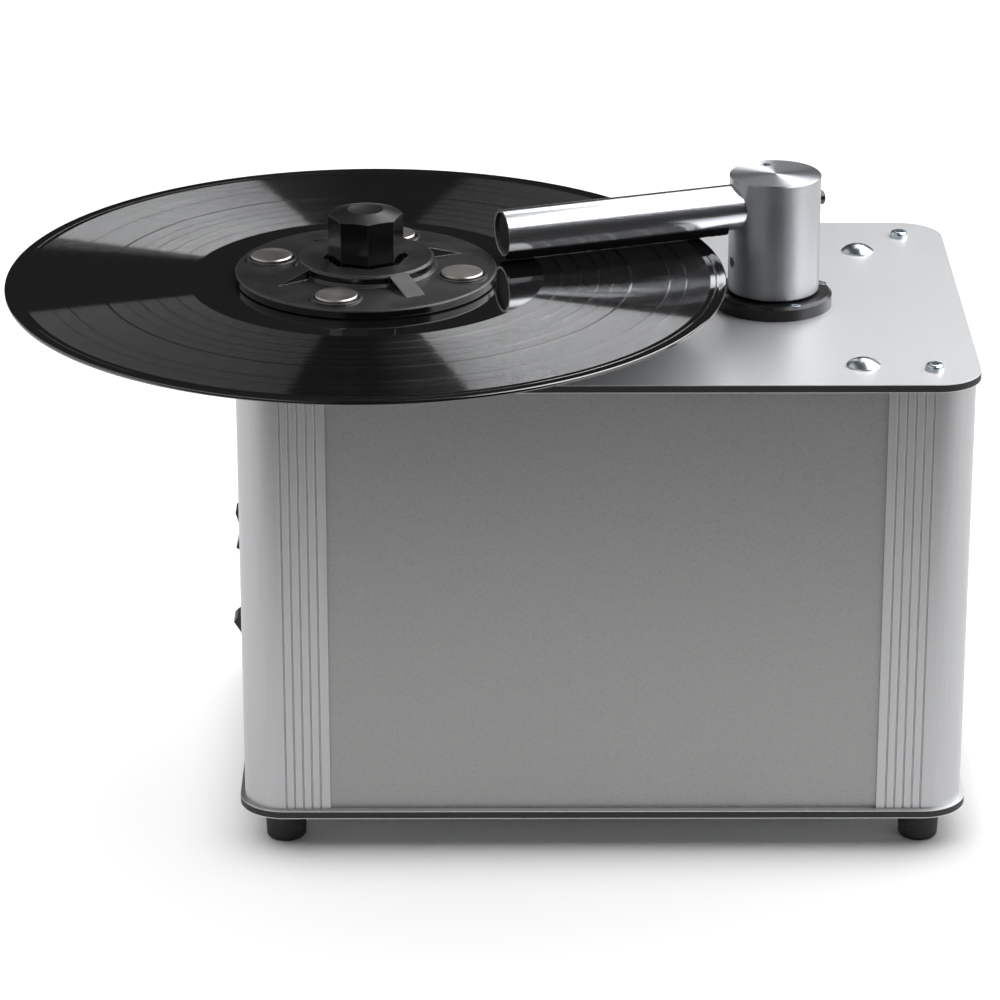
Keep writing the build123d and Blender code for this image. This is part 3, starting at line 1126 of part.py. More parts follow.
def rocker(level, tilt):
    """Rocker with rounded ends about its pivot and a dished face, pressed in at one end by the tilt."""
    hump = math.sqrt(ROCKER_RADIUS ** 2 - ROCKER_HUMP ** 2)
    root = math.sqrt(ROCKER_RADIUS ** 2 - ROCKER_ROOT ** 2)
    upper_end = ThreePointArc((ROCKER_HUMP, hump), (0, ROCKER_RADIUS), (-ROCKER_ROOT, root))
    back = Line((-ROCKER_ROOT, root), (-ROCKER_ROOT, -root))
    lower_end = ThreePointArc((-ROCKER_ROOT, -root), (0, -ROCKER_RADIUS), (ROCKER_HUMP, -hump))
    face = Polyline((ROCKER_HUMP, -hump), (ROCKER_DIP, 0), (ROCKER_HUMP, hump))
    side = make_face(upper_end + back + lower_end + face)
    upright = Plane(origin=(rocker_pivot_x, switch_y, level), x_dir=(-1, 0, 0), z_dir=(0, 1, 0))
    return extrude(upright * Rot(0, 0, -tilt) * side, ROCKER_WIDTH / 2, both=True)


# ---------------------------------------------------------------- assembly
pieces = {
    "bottom_plate": bottom_plate(),
    "top_plate": top_plate(),
    "front_panel": front_panel(),
    "back_panel": back_panel(),
    "left_panel": left_panel(),
    "right_panel": side_panel(1),
    "foot_screws": foot_screws(),
    "corner_screws": corner_screws(),
    "dome_bolts": dome_bolts(),
    "dome_bolt_nuts": dome_bolt_nuts(),
    "bearing_housing": bearing_housing(),
    "bearing_screws": bearing_screws(),
    "motor_standoffs": motor_standoffs(),
    "gear_motor": gear_motor(),
    "spindle": spindle(),
    "platter": platter(),
    "platter_mat": platter_mat(),
    "record": record(),
    "clamp_body": clamp_body(),
    "clamp_discs": clamp_discs(),
    "clamp_seal": clamp_seal(),
    "clamp_knob": clamp_knob(),
    "knob_insert": knob_insert(),
    "arm_flange": arm_flange(),
    "arm_flange_screws": arm_flange_screws(),
    "arm_pillar": arm_pillar(),
    "pillar_nut": pillar_nut(),
    "arm_spring": arm_spring(),
    "arm_sleeve": arm_sleeve(),
    "arm_post": arm_post(),
    "arm_screws": arm_screws(),
    "suction_tube": suction_tube(),
    "tube_plug": tube_plug(),
    "velvet_strips": velvet_strips(),
    "waste_tank": waste_tank(),
    "tank_lid": tank_lid(),
    "tank_bracket": tank_bracket(),
    "arm_hose": arm_hose(),
    "suction_hose": suction_hose(),
    "drain_spout": drain_spout(),
    "drain_cap": drain_cap(),
    "motor_mounts": motor_mounts(),
    "vacuum_motor": vacuum_motor(),
    "fan_housing": fan_housing(),
    "power_board": power_board(),
    "mains_inlet": mains_inlet(),
    "inlet_pins": inlet_pins(),
    "inlet_screws": inlet_screws(),
    "spin_switch": switch_frame(spin_switch_level),
    "spin_rocker": rocker(spin_switch_level, 0),
    "vacuum_switch": switch_frame(vacuum_switch_level),
    "vacuum_rocker": rocker(vacuum_switch_level, ROCKER_TILT),
}
for corner, side_x, side_y in CORNERS:
    pieces["corner_profile_" + corner] = corner_profile(side_x, side_y)
    pieces["foot_" + corner] = foot(side_x, side_y)

# The overall box runs from the record's left and front edges to the plate's right edge
# and the end of the drain cap; the origin moves to its bottom centre.
box_left = spindle_x - RECORD_RADIUS
box_right = HOUSING_WIDTH / 2 + PLATE_OVERHANG
box_front = spindle_y - RECORD_RADIUS
box_back = drain_cap_end
origin_x = (box_left + box_right) / 2
origin_y = (box_front + box_back) / 2
to_origin = Pos(-origin_x, -origin_y, 0)

os.makedirs("parts", exist_ok=True)
for name, shape in pieces.items():
    export_step(to_origin * shape, "parts/" + name + ".step")
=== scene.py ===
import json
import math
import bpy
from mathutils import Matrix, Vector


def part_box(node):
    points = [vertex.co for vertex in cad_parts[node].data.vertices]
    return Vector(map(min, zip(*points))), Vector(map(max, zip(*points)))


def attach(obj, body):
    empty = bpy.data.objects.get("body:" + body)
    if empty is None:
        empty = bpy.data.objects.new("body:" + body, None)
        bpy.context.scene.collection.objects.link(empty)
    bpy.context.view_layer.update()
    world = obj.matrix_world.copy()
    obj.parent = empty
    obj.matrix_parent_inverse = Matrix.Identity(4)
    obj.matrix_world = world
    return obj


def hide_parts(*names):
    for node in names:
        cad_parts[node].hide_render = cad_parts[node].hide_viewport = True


bl_info = {
    "name": "Record cleaning machine",
    "version": (1, 0, 0),
    "blender": (4, 5, 0),
    "location": "View3D > Sidebar > Machine",
    "description": "Finishes, record, velvet and studio for the record cleaning machine",
    "category": "Object",
}

import bmesh
import bpy
from mathutils import Matrix, Vector, noise

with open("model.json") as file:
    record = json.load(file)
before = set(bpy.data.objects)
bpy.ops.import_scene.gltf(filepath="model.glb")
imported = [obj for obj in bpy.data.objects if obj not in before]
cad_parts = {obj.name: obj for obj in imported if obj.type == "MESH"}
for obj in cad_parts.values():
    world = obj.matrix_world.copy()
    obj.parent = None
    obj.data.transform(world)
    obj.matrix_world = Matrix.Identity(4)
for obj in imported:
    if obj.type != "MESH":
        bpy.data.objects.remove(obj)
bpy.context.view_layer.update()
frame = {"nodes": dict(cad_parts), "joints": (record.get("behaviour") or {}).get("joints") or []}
nodes = frame["nodes"]
pivots = {joint["name"]: Vector(joint["pos_m"]) for joint in frame["joints"] if "pos_m" in joint}

MM = 0.001                      # metres in a millimetre
spindle = pivots["platter_spin"]
arm_axis = pivots["arm_swing"]
arm_reach = (spindle - arm_axis).to_2d().normalized()
arm_angle = math.atan2(arm_reach.y, arm_reach.x)
post_low, post_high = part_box("arm_post")
post_radius = (post_high.x - post_low.x) / 2
record_low, record_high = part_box("record")
record_radius = (record_high.x - record_low.x) / 2
tube_low, tube_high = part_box("suction_tube")
tube_axis = (tube_low.z + tube_high.z) / 2
tube_radius = (tube_high.z - tube_low.z) / 2

# ---------------------------------------------------------------- shader tools
NOISE_RANGE = (0.3, 0.7)        # where nearly all values of a noise lie
EDGE_TURN = (0.985, 0.90)       # cosine of rounded to flat normal where wear starts, and where it is full
EDGE_BREAKS = 0.06              # how far a noise shifts that cosine


class Wire:
    """A node's output socket that Python arithmetic can use."""

    def __init__(self, finish, socket):
        self.finish = finish
        self.socket = socket

    def __add__(self, other):
        return self.finish.calculate("ADD", self, other)

    def __radd__(self, other):
        return self.finish.calculate("ADD", other, self)

    def __sub__(self, other):
        return self.finish.calculate("SUBTRACT", self, other)

    def __rsub__(self, other):
        return self.finish.calculate("SUBTRACT", other, self)

    def __mul__(self, other):
        return self.finish.calculate("MULTIPLY", self, other)

    def __rmul__(self, other):
        return self.finish.calculate("MULTIPLY", other, self)

    def __truediv__(self, other):
        return self.finish.calculate("DIVIDE", self, other)

    def __rtruediv__(self, other):
        return self.finish.calculate("DIVIDE", other, self)

    def __pow__(self, other):
        return self.finish.calculate("POWER", self, other)

    def __rpow__(self, other):
        return self.finish.calculate("POWER", other, self)

    def __abs__(self):
        return self.finish.calculate("ABSOLUTE", self)

    def sine(self):
        return self.finish.calculate("SINE", self)

    def floor(self):
        return self.finish.calculate("FLOOR", self)

    def least(self, other):
        return self.finish.calculate("MINIMUM", self, other)

    def most(self, other):
        return self.finish.calculate("MAXIMUM", self, other)

    def unit(self):
        return self.finish.calculate("NORMALIZE", self)

    def output(self, name):
        """Another output of the same node."""
        return Wire(self.finish, self.socket.node.outputs[name])


class Finish:
    """One procedural material under construction, with its places and sizes in millimetres."""

    def __init__(self, name):
        self.material = bpy.data.materials.new(name)
        self.material.use_nodes = True
        self.tree = self.material.node_tree
        self.tree.nodes.clear()

    def add(self, kind, settings=None, inputs=None, output=0):
        """New node of a kind: its settings first, then the values or links of its sockets."""
        made = self.tree.nodes.new("ShaderNode" + kind)
        for name, value in (settings or {}).items():
            setattr(made, name, value)
        for name, value in (inputs or {}).items():
            if isinstance(value, Wire):
                self.tree.links.new(value.socket, made.inputs[name])
            else:
                made.inputs[name].default_value = value
        return Wire(self, made.outputs[output]) if made.outputs else None

    def calculate(self, operation, *values):
        """Math node on numbers, or Vector Math node where a value is a vector or a colour."""
        wires = [value for value in values if isinstance(value, Wire)]
        if any(wire.socket.type in {"VECTOR", "RGBA"} for wire in wires):
            values = [(value,) * 3 if isinstance(value, (int, float)) else value for value in values]
            return self.add("VectorMath", {"operation": operation}, dict(enumerate(values)))
        return self.add("Math", {"operation": operation}, dict(enumerate(values)))

    def local(self, origin=(0, 0, 0), angle=0.0):
        """Place in the machine's frame, from an origin in metres and turned about Z."""
        place = self.add("TexCoord").output("Object")
        return self.add("Mapping", {"vector_type": "TEXTURE"}, {
            "Vector": place, "Location": tuple(origin), "Rotation": (0, 0, angle), "Scale": (MM, MM, MM)})

    def parts(self, vector):
        """X, Y and Z of a vector."""
        split = self.add("SeparateXYZ", inputs={"Vector": vector})
        return split, split.output("Y"), split.output("Z")

    def vector(self, x, y, z):
        return self.add("CombineXYZ", inputs={"X": x, "Y": y, "Z": z})

    def normal(self):
        return self.add("NewGeometry").output("Normal")

    def levelness(self):
        """1 on faces that look straight up or down, and 0 on upright ones."""
        _, _, up = self.parts(self.normal())
        return abs(up)

    def noise(self, vector, scale, detail=2.0, roughness=0.5):
        """Smooth noise about 0.5."""
        return self.add("TexNoise", {"noise_dimensions": "3D"}, {
            "Vector": vector, "Scale": scale, "Detail": detail, "Roughness": roughness})

    def cells(self, value):
        """Random number from 0 to 1 for each whole step of a value."""
        return self.add("TexWhiteNoise", {"noise_dimensions": "1D"}, {"W": value.floor()})

    def ramp(self, value, low, high, bottom=0.0, top=1.0):
        """Value mapped smoothly from one range to another and held at its ends."""
        return self.add("MapRange", {"interpolation_type": "SMOOTHSTEP"}, {
            "Value": value, "From Min": low, "From Max": high, "To Min": bottom, "To Max": top})

    def spread(self, wave, bottom, top):
        """Value that wanders between two limits with a noise."""
        return self.ramp(wave, *NOISE_RANGE, bottom, top)

    def band(self, value, low, high, soft):
        """1 between two limits and 0 outside them."""
        rise = self.ramp(value, low - soft, low + soft)
        return rise * self.ramp(value, high - soft, high + soft, 1.0, 0.0)

    def mix(self, first, second, mask):
        """Colour that turns from the first to the second as the mask goes from 0 to 1."""
        sockets = {0: mask, 6: opaque(first), 7: opaque(second)}
        return self.add("Mix", {"data_type": "RGBA"}, sockets, output=2)

    def shade(self, colour, tone):
        """Colour that darkens as the tone falls from 1 to 0."""
        return self.mix((0, 0, 0), colour, tone)

    def lean(self, normal, direction, amount):
        """Normal that leans along an object-space direction by an amount."""
        settings = {"vector_type": "VECTOR", "convert_from": "OBJECT", "convert_to": "WORLD"}
        sideways = self.add("VectorTransform", settings, {"Vector": direction})
        return (normal + sideways * amount).unit()

    def bump(self, height, distance, normal=None):
        """Relief of a height field over a distance, on top of another normal where there is one."""
        inputs = {"Height": height, "Distance": distance * MM}
        if normal:
            inputs["Normal"] = normal
        return self.add("Bump", inputs=inputs)

    def soft_edges(self, radius):
        """Normal that rounds sharp edges by a radius."""
        return self.add("Bevel", {"samples": 4}, {"Radius": radius * MM})

    def worn_edges(self, radius, wear):
        """Normal that rounds sharp edges, and a broken mask that is 1 on them."""
        rounded = self.soft_edges(radius)
        turn = self.add("VectorMath", {"operation": "DOT_PRODUCT"}, {0: rounded, 1: self.normal()}, output=1)
        return rounded, self.ramp(turn + (wear - 0.5) * EDGE_BREAKS, *EDGE_TURN)

    def surface(self, **inputs):
        """Principled surface; sockets are named with underscores for spaces."""
        sockets = {}
        for name, value in inputs.items():
            title = name.replace("_", " ").title().replace("Ior", "IOR")
            is_colour = title in {"Base Color", "Sheen Tint", "Emission Color"}
            sockets[title] = opaque(value) if is_colour else value
        shader = self.add("BsdfPrincipled", inputs=sockets)
        self.add("OutputMaterial", inputs={"Surface": shader})
        return self.material


def opaque(colour):
    """Colour with an alpha of 1, or the wire as it is."""
    return colour if isinstance(colour, Wire) else (*tuple(colour)[:3], 1.0)


# ---------------------------------------------------------------- finishes
WORN_METAL = (0.82, 0.82, 0.83)
RUBBED_PLASTIC = (0.05, 0.05, 0.052)
# clamp edge colour: partly wear, partly a painted highlight along its rims
CLAMP_EDGE_WEAR_AND_HIGHLIGHT = (0.10, 0.10, 0.105)
RUBBER_DUST = (0.09, 0.088, 0.085)
VINYL_DUST = (0.03, 0.03, 0.031)
PILE_SHEEN = (0.5, 0.5, 0.52)
BOARD_TRACKS = (0.02, 0.09, 0.035)
CUTS_PER_MM = 5.0               # lathe marks on a turned piece
TURNED_ROUGHNESS = 0.38
QUARTER_TURN = 0.25             # from along the lathe marks to across them
STREAKS_PER_MM = 3.0            # across a record's grooves


def rings(finish, local):
    """Distance from an upright axis and the outward direction there."""
    x, y, _ = finish.parts(local)
    radius = (x * x + y * y) ** 0.5
    return radius, finish.vector(x / radius, y / radius, 0.0)


def composite_plate(name, colour, core, low, high, skin):
    """Plate with thin metal skins over a dark core that shows at its edges."""
    finish = Finish(name)
    local = finish.local()
    _, _, z = finish.parts(local)
    grain = finish.noise(local, scale=2.2, detail=3.0, roughness=0.65)
    cloud = finish.noise(local, scale=0.012)
    side = finish.ramp(finish.levelness(), 0.75, 0.5)
    inside = side * finish.band(z, (low + skin) / MM, (high - skin) / MM, soft=0.05)
    skins = finish.shade(colour, finish.spread(grain * 0.5 + cloud * 0.5, 0.95, 1.03))
    rounded, worn = finish.worn_edges(radius=0.25, wear=grain)
    return finish.surface(
        base_color=finish.mix(finish.mix(skins, WORN_METAL, worn * 0.6), core, inside),
        metallic=(1.0 - inside) * 0.72,
        roughness=finish.spread(grain, 0.36, 0.44) + inside * 0.2,
        normal=finish.bump(grain, distance=0.012, normal=rounded))


def extruded(name, colour):
    """Satin anodised extrusion with faint die lines along it."""
    finish = Finish(name)
    local = finish.local()
    x, y, z = finish.parts(local)
    lines = finish.noise(finish.vector(x * 3.0, y * 3.0, z * 0.02), scale=1.0, detail=3.0, roughness=0.6)
    grain = finish.noise(local, scale=3.0)
    skin = finish.shade(colour, finish.spread(lines * 0.7 + grain * 0.3, 0.94, 1.03))
    rounded, worn = finish.worn_edges(radius=0.4, wear=grain)
    return finish.surface(
        base_color=finish.mix(skin, WORN_METAL, worn * 0.5), metallic=0.85,
        roughness=finish.spread(grain, 0.36, 0.44),
        normal=finish.bump(lines + grain * 0.4, distance=0.010, normal=rounded))


def grained_sheet(name, colour):
    """Anodised sheet with a fine blasted grain."""
    finish = Finish(name)
    grain = finish.noise(finish.local(), scale=1.6, detail=3.0, roughness=0.75)
    return finish.surface(
        base_color=finish.shade(colour, finish.ramp(grain, 0.28, 0.72, 0.80, 1.16)), metallic=0.9,
        roughness=finish.spread(grain, 0.40, 0.52),
        normal=finish.bump(grain, distance=0.03))


def plated(name, colour, roughness=0.2, grain_height=0.0015):
    """Bright plated steel with faint clouds."""
    finish = Finish(name)
    local = finish.local()
    cloud = finish.noise(local, scale=0.12, detail=3.0)
    grain = finish.noise(local, scale=4.0)
    return finish.surface(
        base_color=finish.shade(colour, finish.spread(cloud, 0.90, 1.0)), metallic=1.0,
        roughness=finish.spread(cloud, roughness, roughness + 0.08),
        normal=finish.bump(grain, grain_height, finish.soft_edges(0.2)))


def turned(name, colour, axis):
    """Lathe-turned metal: rings on flat faces and lines round the sides of an upright axis."""
    finish = Finish(name)
    local = finish.local(axis)
    _, _, z = finish.parts(local)
    radius, outward = rings(finish, local)
    eastward, _, _ = finish.parts(outward)
    flat = finish.ramp(finish.levelness(), 0.6, 0.9)
    upright = 1.0 - flat
    across = radius * flat + z * upright
    cut = finish.cells(across * CUTS_PER_MM) - 0.5
    feed = finish.noise(finish.vector(across, 0.0, 0.0), scale=0.9) - 0.5
    streaks = finish.vector(radius * 0.2, eastward * 30.0, z * 6.0)
    grain = finish.noise(streaks, scale=1.0, detail=3.0, roughness=0.7) - 0.5
    speckle = finish.noise(local, scale=1.6, detail=3.0, roughness=0.8) - 0.5
    tone = finish.ramp(feed * 0.25 + cut * 0.1 + grain * 0.6 + speckle, -0.4, 0.4, 0.84, 1.08)
    dullness = finish.ramp(feed, -0.3, 0.3, TURNED_ROUGHNESS - 0.02, TURNED_ROUGHNESS + 0.03)
    normal = finish.lean(finish.soft_edges(0.3), outward * flat, (cut * 0.5 + feed) * 0.04)
    normal = finish.lean(normal, finish.vector(0.0, 0.0, 1.0), (cut * 0.015 + feed * 0.01) * upright)
    return finish.surface(
        base_color=finish.shade(colour, tone), metallic=1.0, roughness=dullness + flat * 0.22,
        anisotropic=0.88, anisotropic_rotation=QUARTER_TURN, normal=normal)


def set_screws(name, steel, dark):
    """Bright set screws, and a darker cap screw that stands out behind the post."""
    finish = Finish(name)
    local = finish.local((arm_axis.x, arm_axis.y, tube_axis), arm_angle)
    along, _, _ = finish.parts(local)
    cloud = finish.noise(local, scale=0.4, detail=3.0)
    behind = finish.ramp(along, 1.0 - post_radius / MM, -post_radius / MM)
    return finish.surface(
        base_color=finish.shade(finish.mix(steel, dark, behind), finish.spread(cloud, 0.8, 1.0)),
        metallic=1.0, roughness=finish.spread(cloud, 0.22, 0.34), normal=finish.soft_edges(0.15))


def polished(name, colour):
    """Polished tube with very faint drawing lines along the arm."""
    finish = Finish(name)
    local = finish.local((arm_axis.x, arm_axis.y, tube_axis), arm_angle)
    x, y, z = finish.parts(local)
    lines = finish.noise(finish.vector(x * 0.03, y, z), scale=3.0, detail=3.0)
    cloud = finish.noise(local, scale=0.03)
    skin = finish.shade(colour, finish.spread(cloud * 0.5 + lines * 0.5, 0.95, 1.0))
    rounded, worn = finish.worn_edges(radius=0.2, wear=lines)
    return finish.surface(
        base_color=finish.mix(skin, WORN_METAL, worn * 0.5), metallic=1.0,
        roughness=finish.spread(lines, 0.19, 0.22),
        normal=finish.bump(lines, distance=0.0008, normal=rounded))


def moulded(name, colour, roughness=0.4, grain_height=0.012, edge=0.3, edge_wear_and_highlight=RUBBED_PLASTIC, upright_gloss_and_shade=0.0):
    """Moulded plastic with rounded edges made paler, as wear and on the clamp also as a painted highlight;
    the last setting smooths its upright faces and darkens them with painted shade.
    """
    finish = Finish(name)
    local = finish.local()
    grain = finish.noise(local, scale=3.5, roughness=0.6)
    cloud = finish.noise(local, scale=0.08, detail=3.0)
    # upright faces: smoother, and their colour darkened below as painted shade
    upright = finish.ramp(finish.levelness(), 0.7, 0.3) * upright_gloss_and_shade
    tone = finish.spread(cloud * 0.6 + grain * 0.4, 0.85, 1.12)
    skin = finish.shade(colour, tone * (1.0 - upright * 0.7))
    rounded, worn = finish.worn_edges(edge, wear=grain)
    dullness = finish.spread(cloud, roughness - 0.04, roughness + 0.06)
    # edges take the paler edge colour: wear, and on the clamp also a painted highlight
    return finish.surface(
        base_color=finish.mix(skin, edge_wear_and_highlight, worn), roughness=dullness - worn * 0.1 - upright * 0.2,
        normal=finish.bump(grain, grain_height, rounded))


def rubber(name, colour):
    """Matt rubber with dust in its pores."""
    finish = Finish(name)
    local = finish.local()
    grain = finish.noise(local, scale=1.8, detail=4.0, roughness=0.7)
    dust = finish.ramp(finish.noise(local, scale=0.35, detail=4.0, roughness=0.7), 0.55, 0.8)
    return finish.surface(
        base_color=finish.mix(colour, RUBBER_DUST, dust * 0.5),
        roughness=finish.spread(grain, 0.62, 0.8),
        normal=finish.bump(grain, distance=0.05, normal=finish.soft_edges(0.3)))


def translucent(name, colour):
    """Milky moulded plastic."""
    finish = Finish(name)
    cloud = finish.noise(finish.local(), scale=0.05, detail=3.0)
    return finish.surface(
        base_color=finish.shade(colour, finish.spread(cloud, 0.85, 1.0)),
        roughness=finish.spread(cloud, 0.3, 0.42), normal=finish.bump(cloud, distance=0.2))


def vinyl(name, colour, label, sizes):
    """Grooved record: smooth bead, lead-in and run-out, grooves with gaps between tracks, plain label."""
    finish = Finish(name)
    local = finish.local(spindle)
    radius, outward = rings(finish, local)
    first_groove = sizes.groove_outer / MM
    last_groove = sizes.groove_inner / MM
    swing = ((radius * (2 * math.pi * MM / sizes.groove_pitch)).sine() * 1.5).least(1.0).most(-1.0)
    density = finish.noise(finish.vector(radius * 0.35, 0.0, 0.0), scale=1.0, detail=4.0, roughness=0.7)
    grooved = finish.band(radius, last_groove, first_groove, soft=0.15)
    for place, width in TRACK_GAPS:
        gap = finish.band(radius, place - width / 2, place + width / 2, soft=0.1)
        grooved = grooved * (1.0 - gap * 0.85)
    lead_in = finish.band(radius, first_groove, record_radius / MM - BEAD_WIDTH, soft=0.1)
    lead_in = lead_in * finish.ramp((radius * 2.2).sine(), 0.6, 0.95) * 0.4
    paper = finish.ramp(radius, LABEL_RADIUS + 0.2, LABEL_RADIUS)
    streak = (finish.cells(radius * STREAKS_PER_MM) - 0.5) * 0.05 + (density - 0.5) * 0.06
    slope = swing * (grooved + lead_in) + streak * grooved
    normal = finish.lean(finish.normal(), outward, slope * sizes.groove_lean)
    fibres = finish.noise(local, scale=2.5, detail=3.0)
    dust = finish.ramp(finish.noise(local, scale=0.9, detail=3.0, roughness=0.8), 0.70, 0.76)
    printed = finish.shade(label, finish.spread(fibres, 0.9, 1.0))
    pressed = finish.mix(colour, VINYL_DUST, dust * 0.3)
    return finish.surface(
        base_color=finish.mix(printed, pressed, 1.0 - paper),
        roughness=0.045 + grooved * finish.spread(density, 0.02, 0.07) + paper * 0.5,
        specular_ior_level=1.0, ior=1.68, normal=finish.bump(fibres * paper, 0.03, normal))


def velvet(name, colour):
    """Black velvet with a short uneven nap."""
    finish = Finish(name)
    pile = finish.noise(finish.local(), scale=3.2, detail=3.0, roughness=0.7)
    return finish.surface(
        base_color=finish.shade(colour, finish.spread(pile, 0.4, 1.5)), roughness=0.95,
        specular_ior_level=0.1, sheen_weight=0.08, sheen_roughness=0.35, sheen_tint=PILE_SHEEN,
        normal=finish.bump(pile, distance=0.2))


def board(name, colour):
    """Green circuit board with darker tracks."""
    finish = Finish(name)
    tracks = finish.ramp(finish.noise(finish.local(), scale=0.3, detail=1.0), 0.49, 0.51)
    return finish.surface(
        base_color=finish.mix(colour, BOARD_TRACKS, tracks), roughness=0.35,
        normal=finish.bump(tracks, distance=0.03))


# ---------------------------------------------------------------- record, in millimetres
BEAD_FLAT = (1.0, 2.0)          # from the rim to where the bead's flat top starts and ends
BEAD_WIDTH = 3.0
LAND_DROP = 0.15                # from the bead and the label down to the grooves
TRACK_GAPS = [(134.0, 0.3), (127.0, 0.45), (111.0, 0.9), (103.5, 0.3), (97.5, 0.45), (90.0, 0.45),
              (82.0, 0.45)]     # radius and width
GAP_RISE = 0.02                 # of a gap above the grooves beside it
GAP_SLOPE = 0.05
LABEL_RADIUS = 50.0
LABEL_SLOPE = 1.0
PRESS_RING = 35.0               # radius of the sunken ring in the label
PRESS_RING_WIDTH = 2.0
PRESS_RING_SLOPE = 0.4
PRESS_RING_DEPTH = 0.12
HOLE_RADIUS = 3.65
HOLE_CHAMFER = (0.55, 0.4)      # across and down
FLAT_SUPPORT = 0.3              # from a step to the extra ring that keeps the face beside it flat
RIM_STEPS = 6
RECORD_SEGMENTS = 256
SHARP_RECORD = 40.0             # angle in degrees beyond which an edge is sharp


def finished_mesh(name, form, sharp):
    """Mesh of a bmesh form, with its faces outwards and its edges sharp beyond an angle in degrees."""
    bmesh.ops.recalc_face_normals(form, faces=form.faces)
    mesh = bpy.data.meshes.new(name)
    form.to_mesh(mesh)
    form.free()
    mesh.set_sharp_from_angle(angle=math.radians(sharp))
    return mesh


def lathe(name, outline, centre, segments):
    """Closed solid of revolution about an upright axis; the outline is (radius, height) in metres."""
    form = bmesh.new()
    loops = []
    for step in range(segments):
        angle = 2 * math.pi * step / segments
        turn = Vector((math.cos(angle), math.sin(angle), 0))
        loops.append([form.verts.new(Vector((centre.x, centre.y, 0)) + turn * r + Vector((0, 0, z)))
                      for r, z in outline])
    for step, loop in enumerate(loops):
        following = loops[(step + 1) % segments]
        for i in range(len(outline)):
            j = (i + 1) % len(outline)
            form.faces.new((loop[i], following[i], following[j], loop[j]))
    return finished_mesh(name, form, SHARP_RECORD)


def ring_step(place, width, slope, beside, level):
    """Outline across a ring at its own level, from its outer side to its inner one."""
    outer, inner = place + width / 2, place - width / 2
    return [(outer + FLAT_SUPPORT, beside), (outer, beside), (outer - slope, level),
            (inner + slope, level), (inner, beside), (inner - FLAT_SUPPORT, beside)]


def record_outline(edge_radius):
    """Half section of the record: rounded edge, raised bead, sunken bands with track gaps, label, hole."""
    rim = record_radius / MM
    edge = edge_radius / MM
    top = (record_high.z - record_low.z) / 2 / MM
    land = top - LAND_DROP
    foot = LABEL_RADIUS + LABEL_SLOPE
    hole_edge = HOLE_RADIUS + HOLE_CHAMFER[0]
    upper = []
    for step in range(RIM_STEPS + 1):
        angle = math.pi / 2 * step / RIM_STEPS
        upper.append((rim - edge + edge * math.cos(angle), top - edge + edge * math.sin(angle)))
    upper += [(rim - BEAD_FLAT[0], top), (rim - BEAD_FLAT[1], top),
              (rim - BEAD_WIDTH, land), (rim - BEAD_WIDTH - FLAT_SUPPORT, land)]
    for place, width in TRACK_GAPS:
        upper += ring_step(place, width, GAP_SLOPE, land, land + GAP_RISE)
    upper += [(foot + FLAT_SUPPORT, land), (foot, land),
              (LABEL_RADIUS, top), (LABEL_RADIUS - FLAT_SUPPORT, top)]
    upper += ring_step(PRESS_RING, PRESS_RING_WIDTH, PRESS_RING_SLOPE, top, top - PRESS_RING_DEPTH)
    upper += [(hole_edge + FLAT_SUPPORT, top), (hole_edge, top), (HOLE_RADIUS, top - HOLE_CHAMFER[1])]
    lower = [(r, -z) for r, z in reversed(upper)]
    middle = (record_high.z + record_low.z) / 2
    return [(r * MM, middle + z * MM) for r, z in upper + lower]


# ---------------------------------------------------------------- velvet
PILE_ROWS = 180                 # along a strip
PILE_COLUMNS = 10               # across its crown
BACK_COLUMNS = 4                # across its back
BACK_GAP = 0.05 * MM            # between a strip's back and the tube
PILE_MARGIN = 0.02 * MM         # between the crown and the CAD strip's face
CROWN_POWER = 4                 # the higher, the squarer the crown
UNEVENNESS = 0.16               # share of the pile's height that its tufts vary by
THINNEST_PILE = 0.12            # share of the pile's height that is left at its edges
TUFTS_ACROSS = 5.0
STRIP_OFFSET = 9.0              # in the noise, which keeps the two strips different
SHARP_PILE = 60.0               # angle in degrees beyond which an edge is sharp


def along_arm(point):
    """Distance of a point along the arm and across it, from the arm's axis."""
    offset = point - arm_axis
    return (offset.x * arm_reach.x + offset.y * arm_reach.y,
            offset.y * arm_reach.x - offset.x * arm_reach.y)


def on_arm(reach, across, height):
    """Point at a distance along the arm and across it, at a height above the floor."""
    return Vector((arm_axis.x + arm_reach.x * reach - arm_reach.y * across,
                   arm_axis.y + arm_reach.y * reach + arm_reach.x * across, height))


def under_tube(across, radius):
    """Height of a point under the tube, from its distances across the arm and from the tube's axis."""
    return tube_axis - (radius ** 2 - across ** 2) ** 0.5


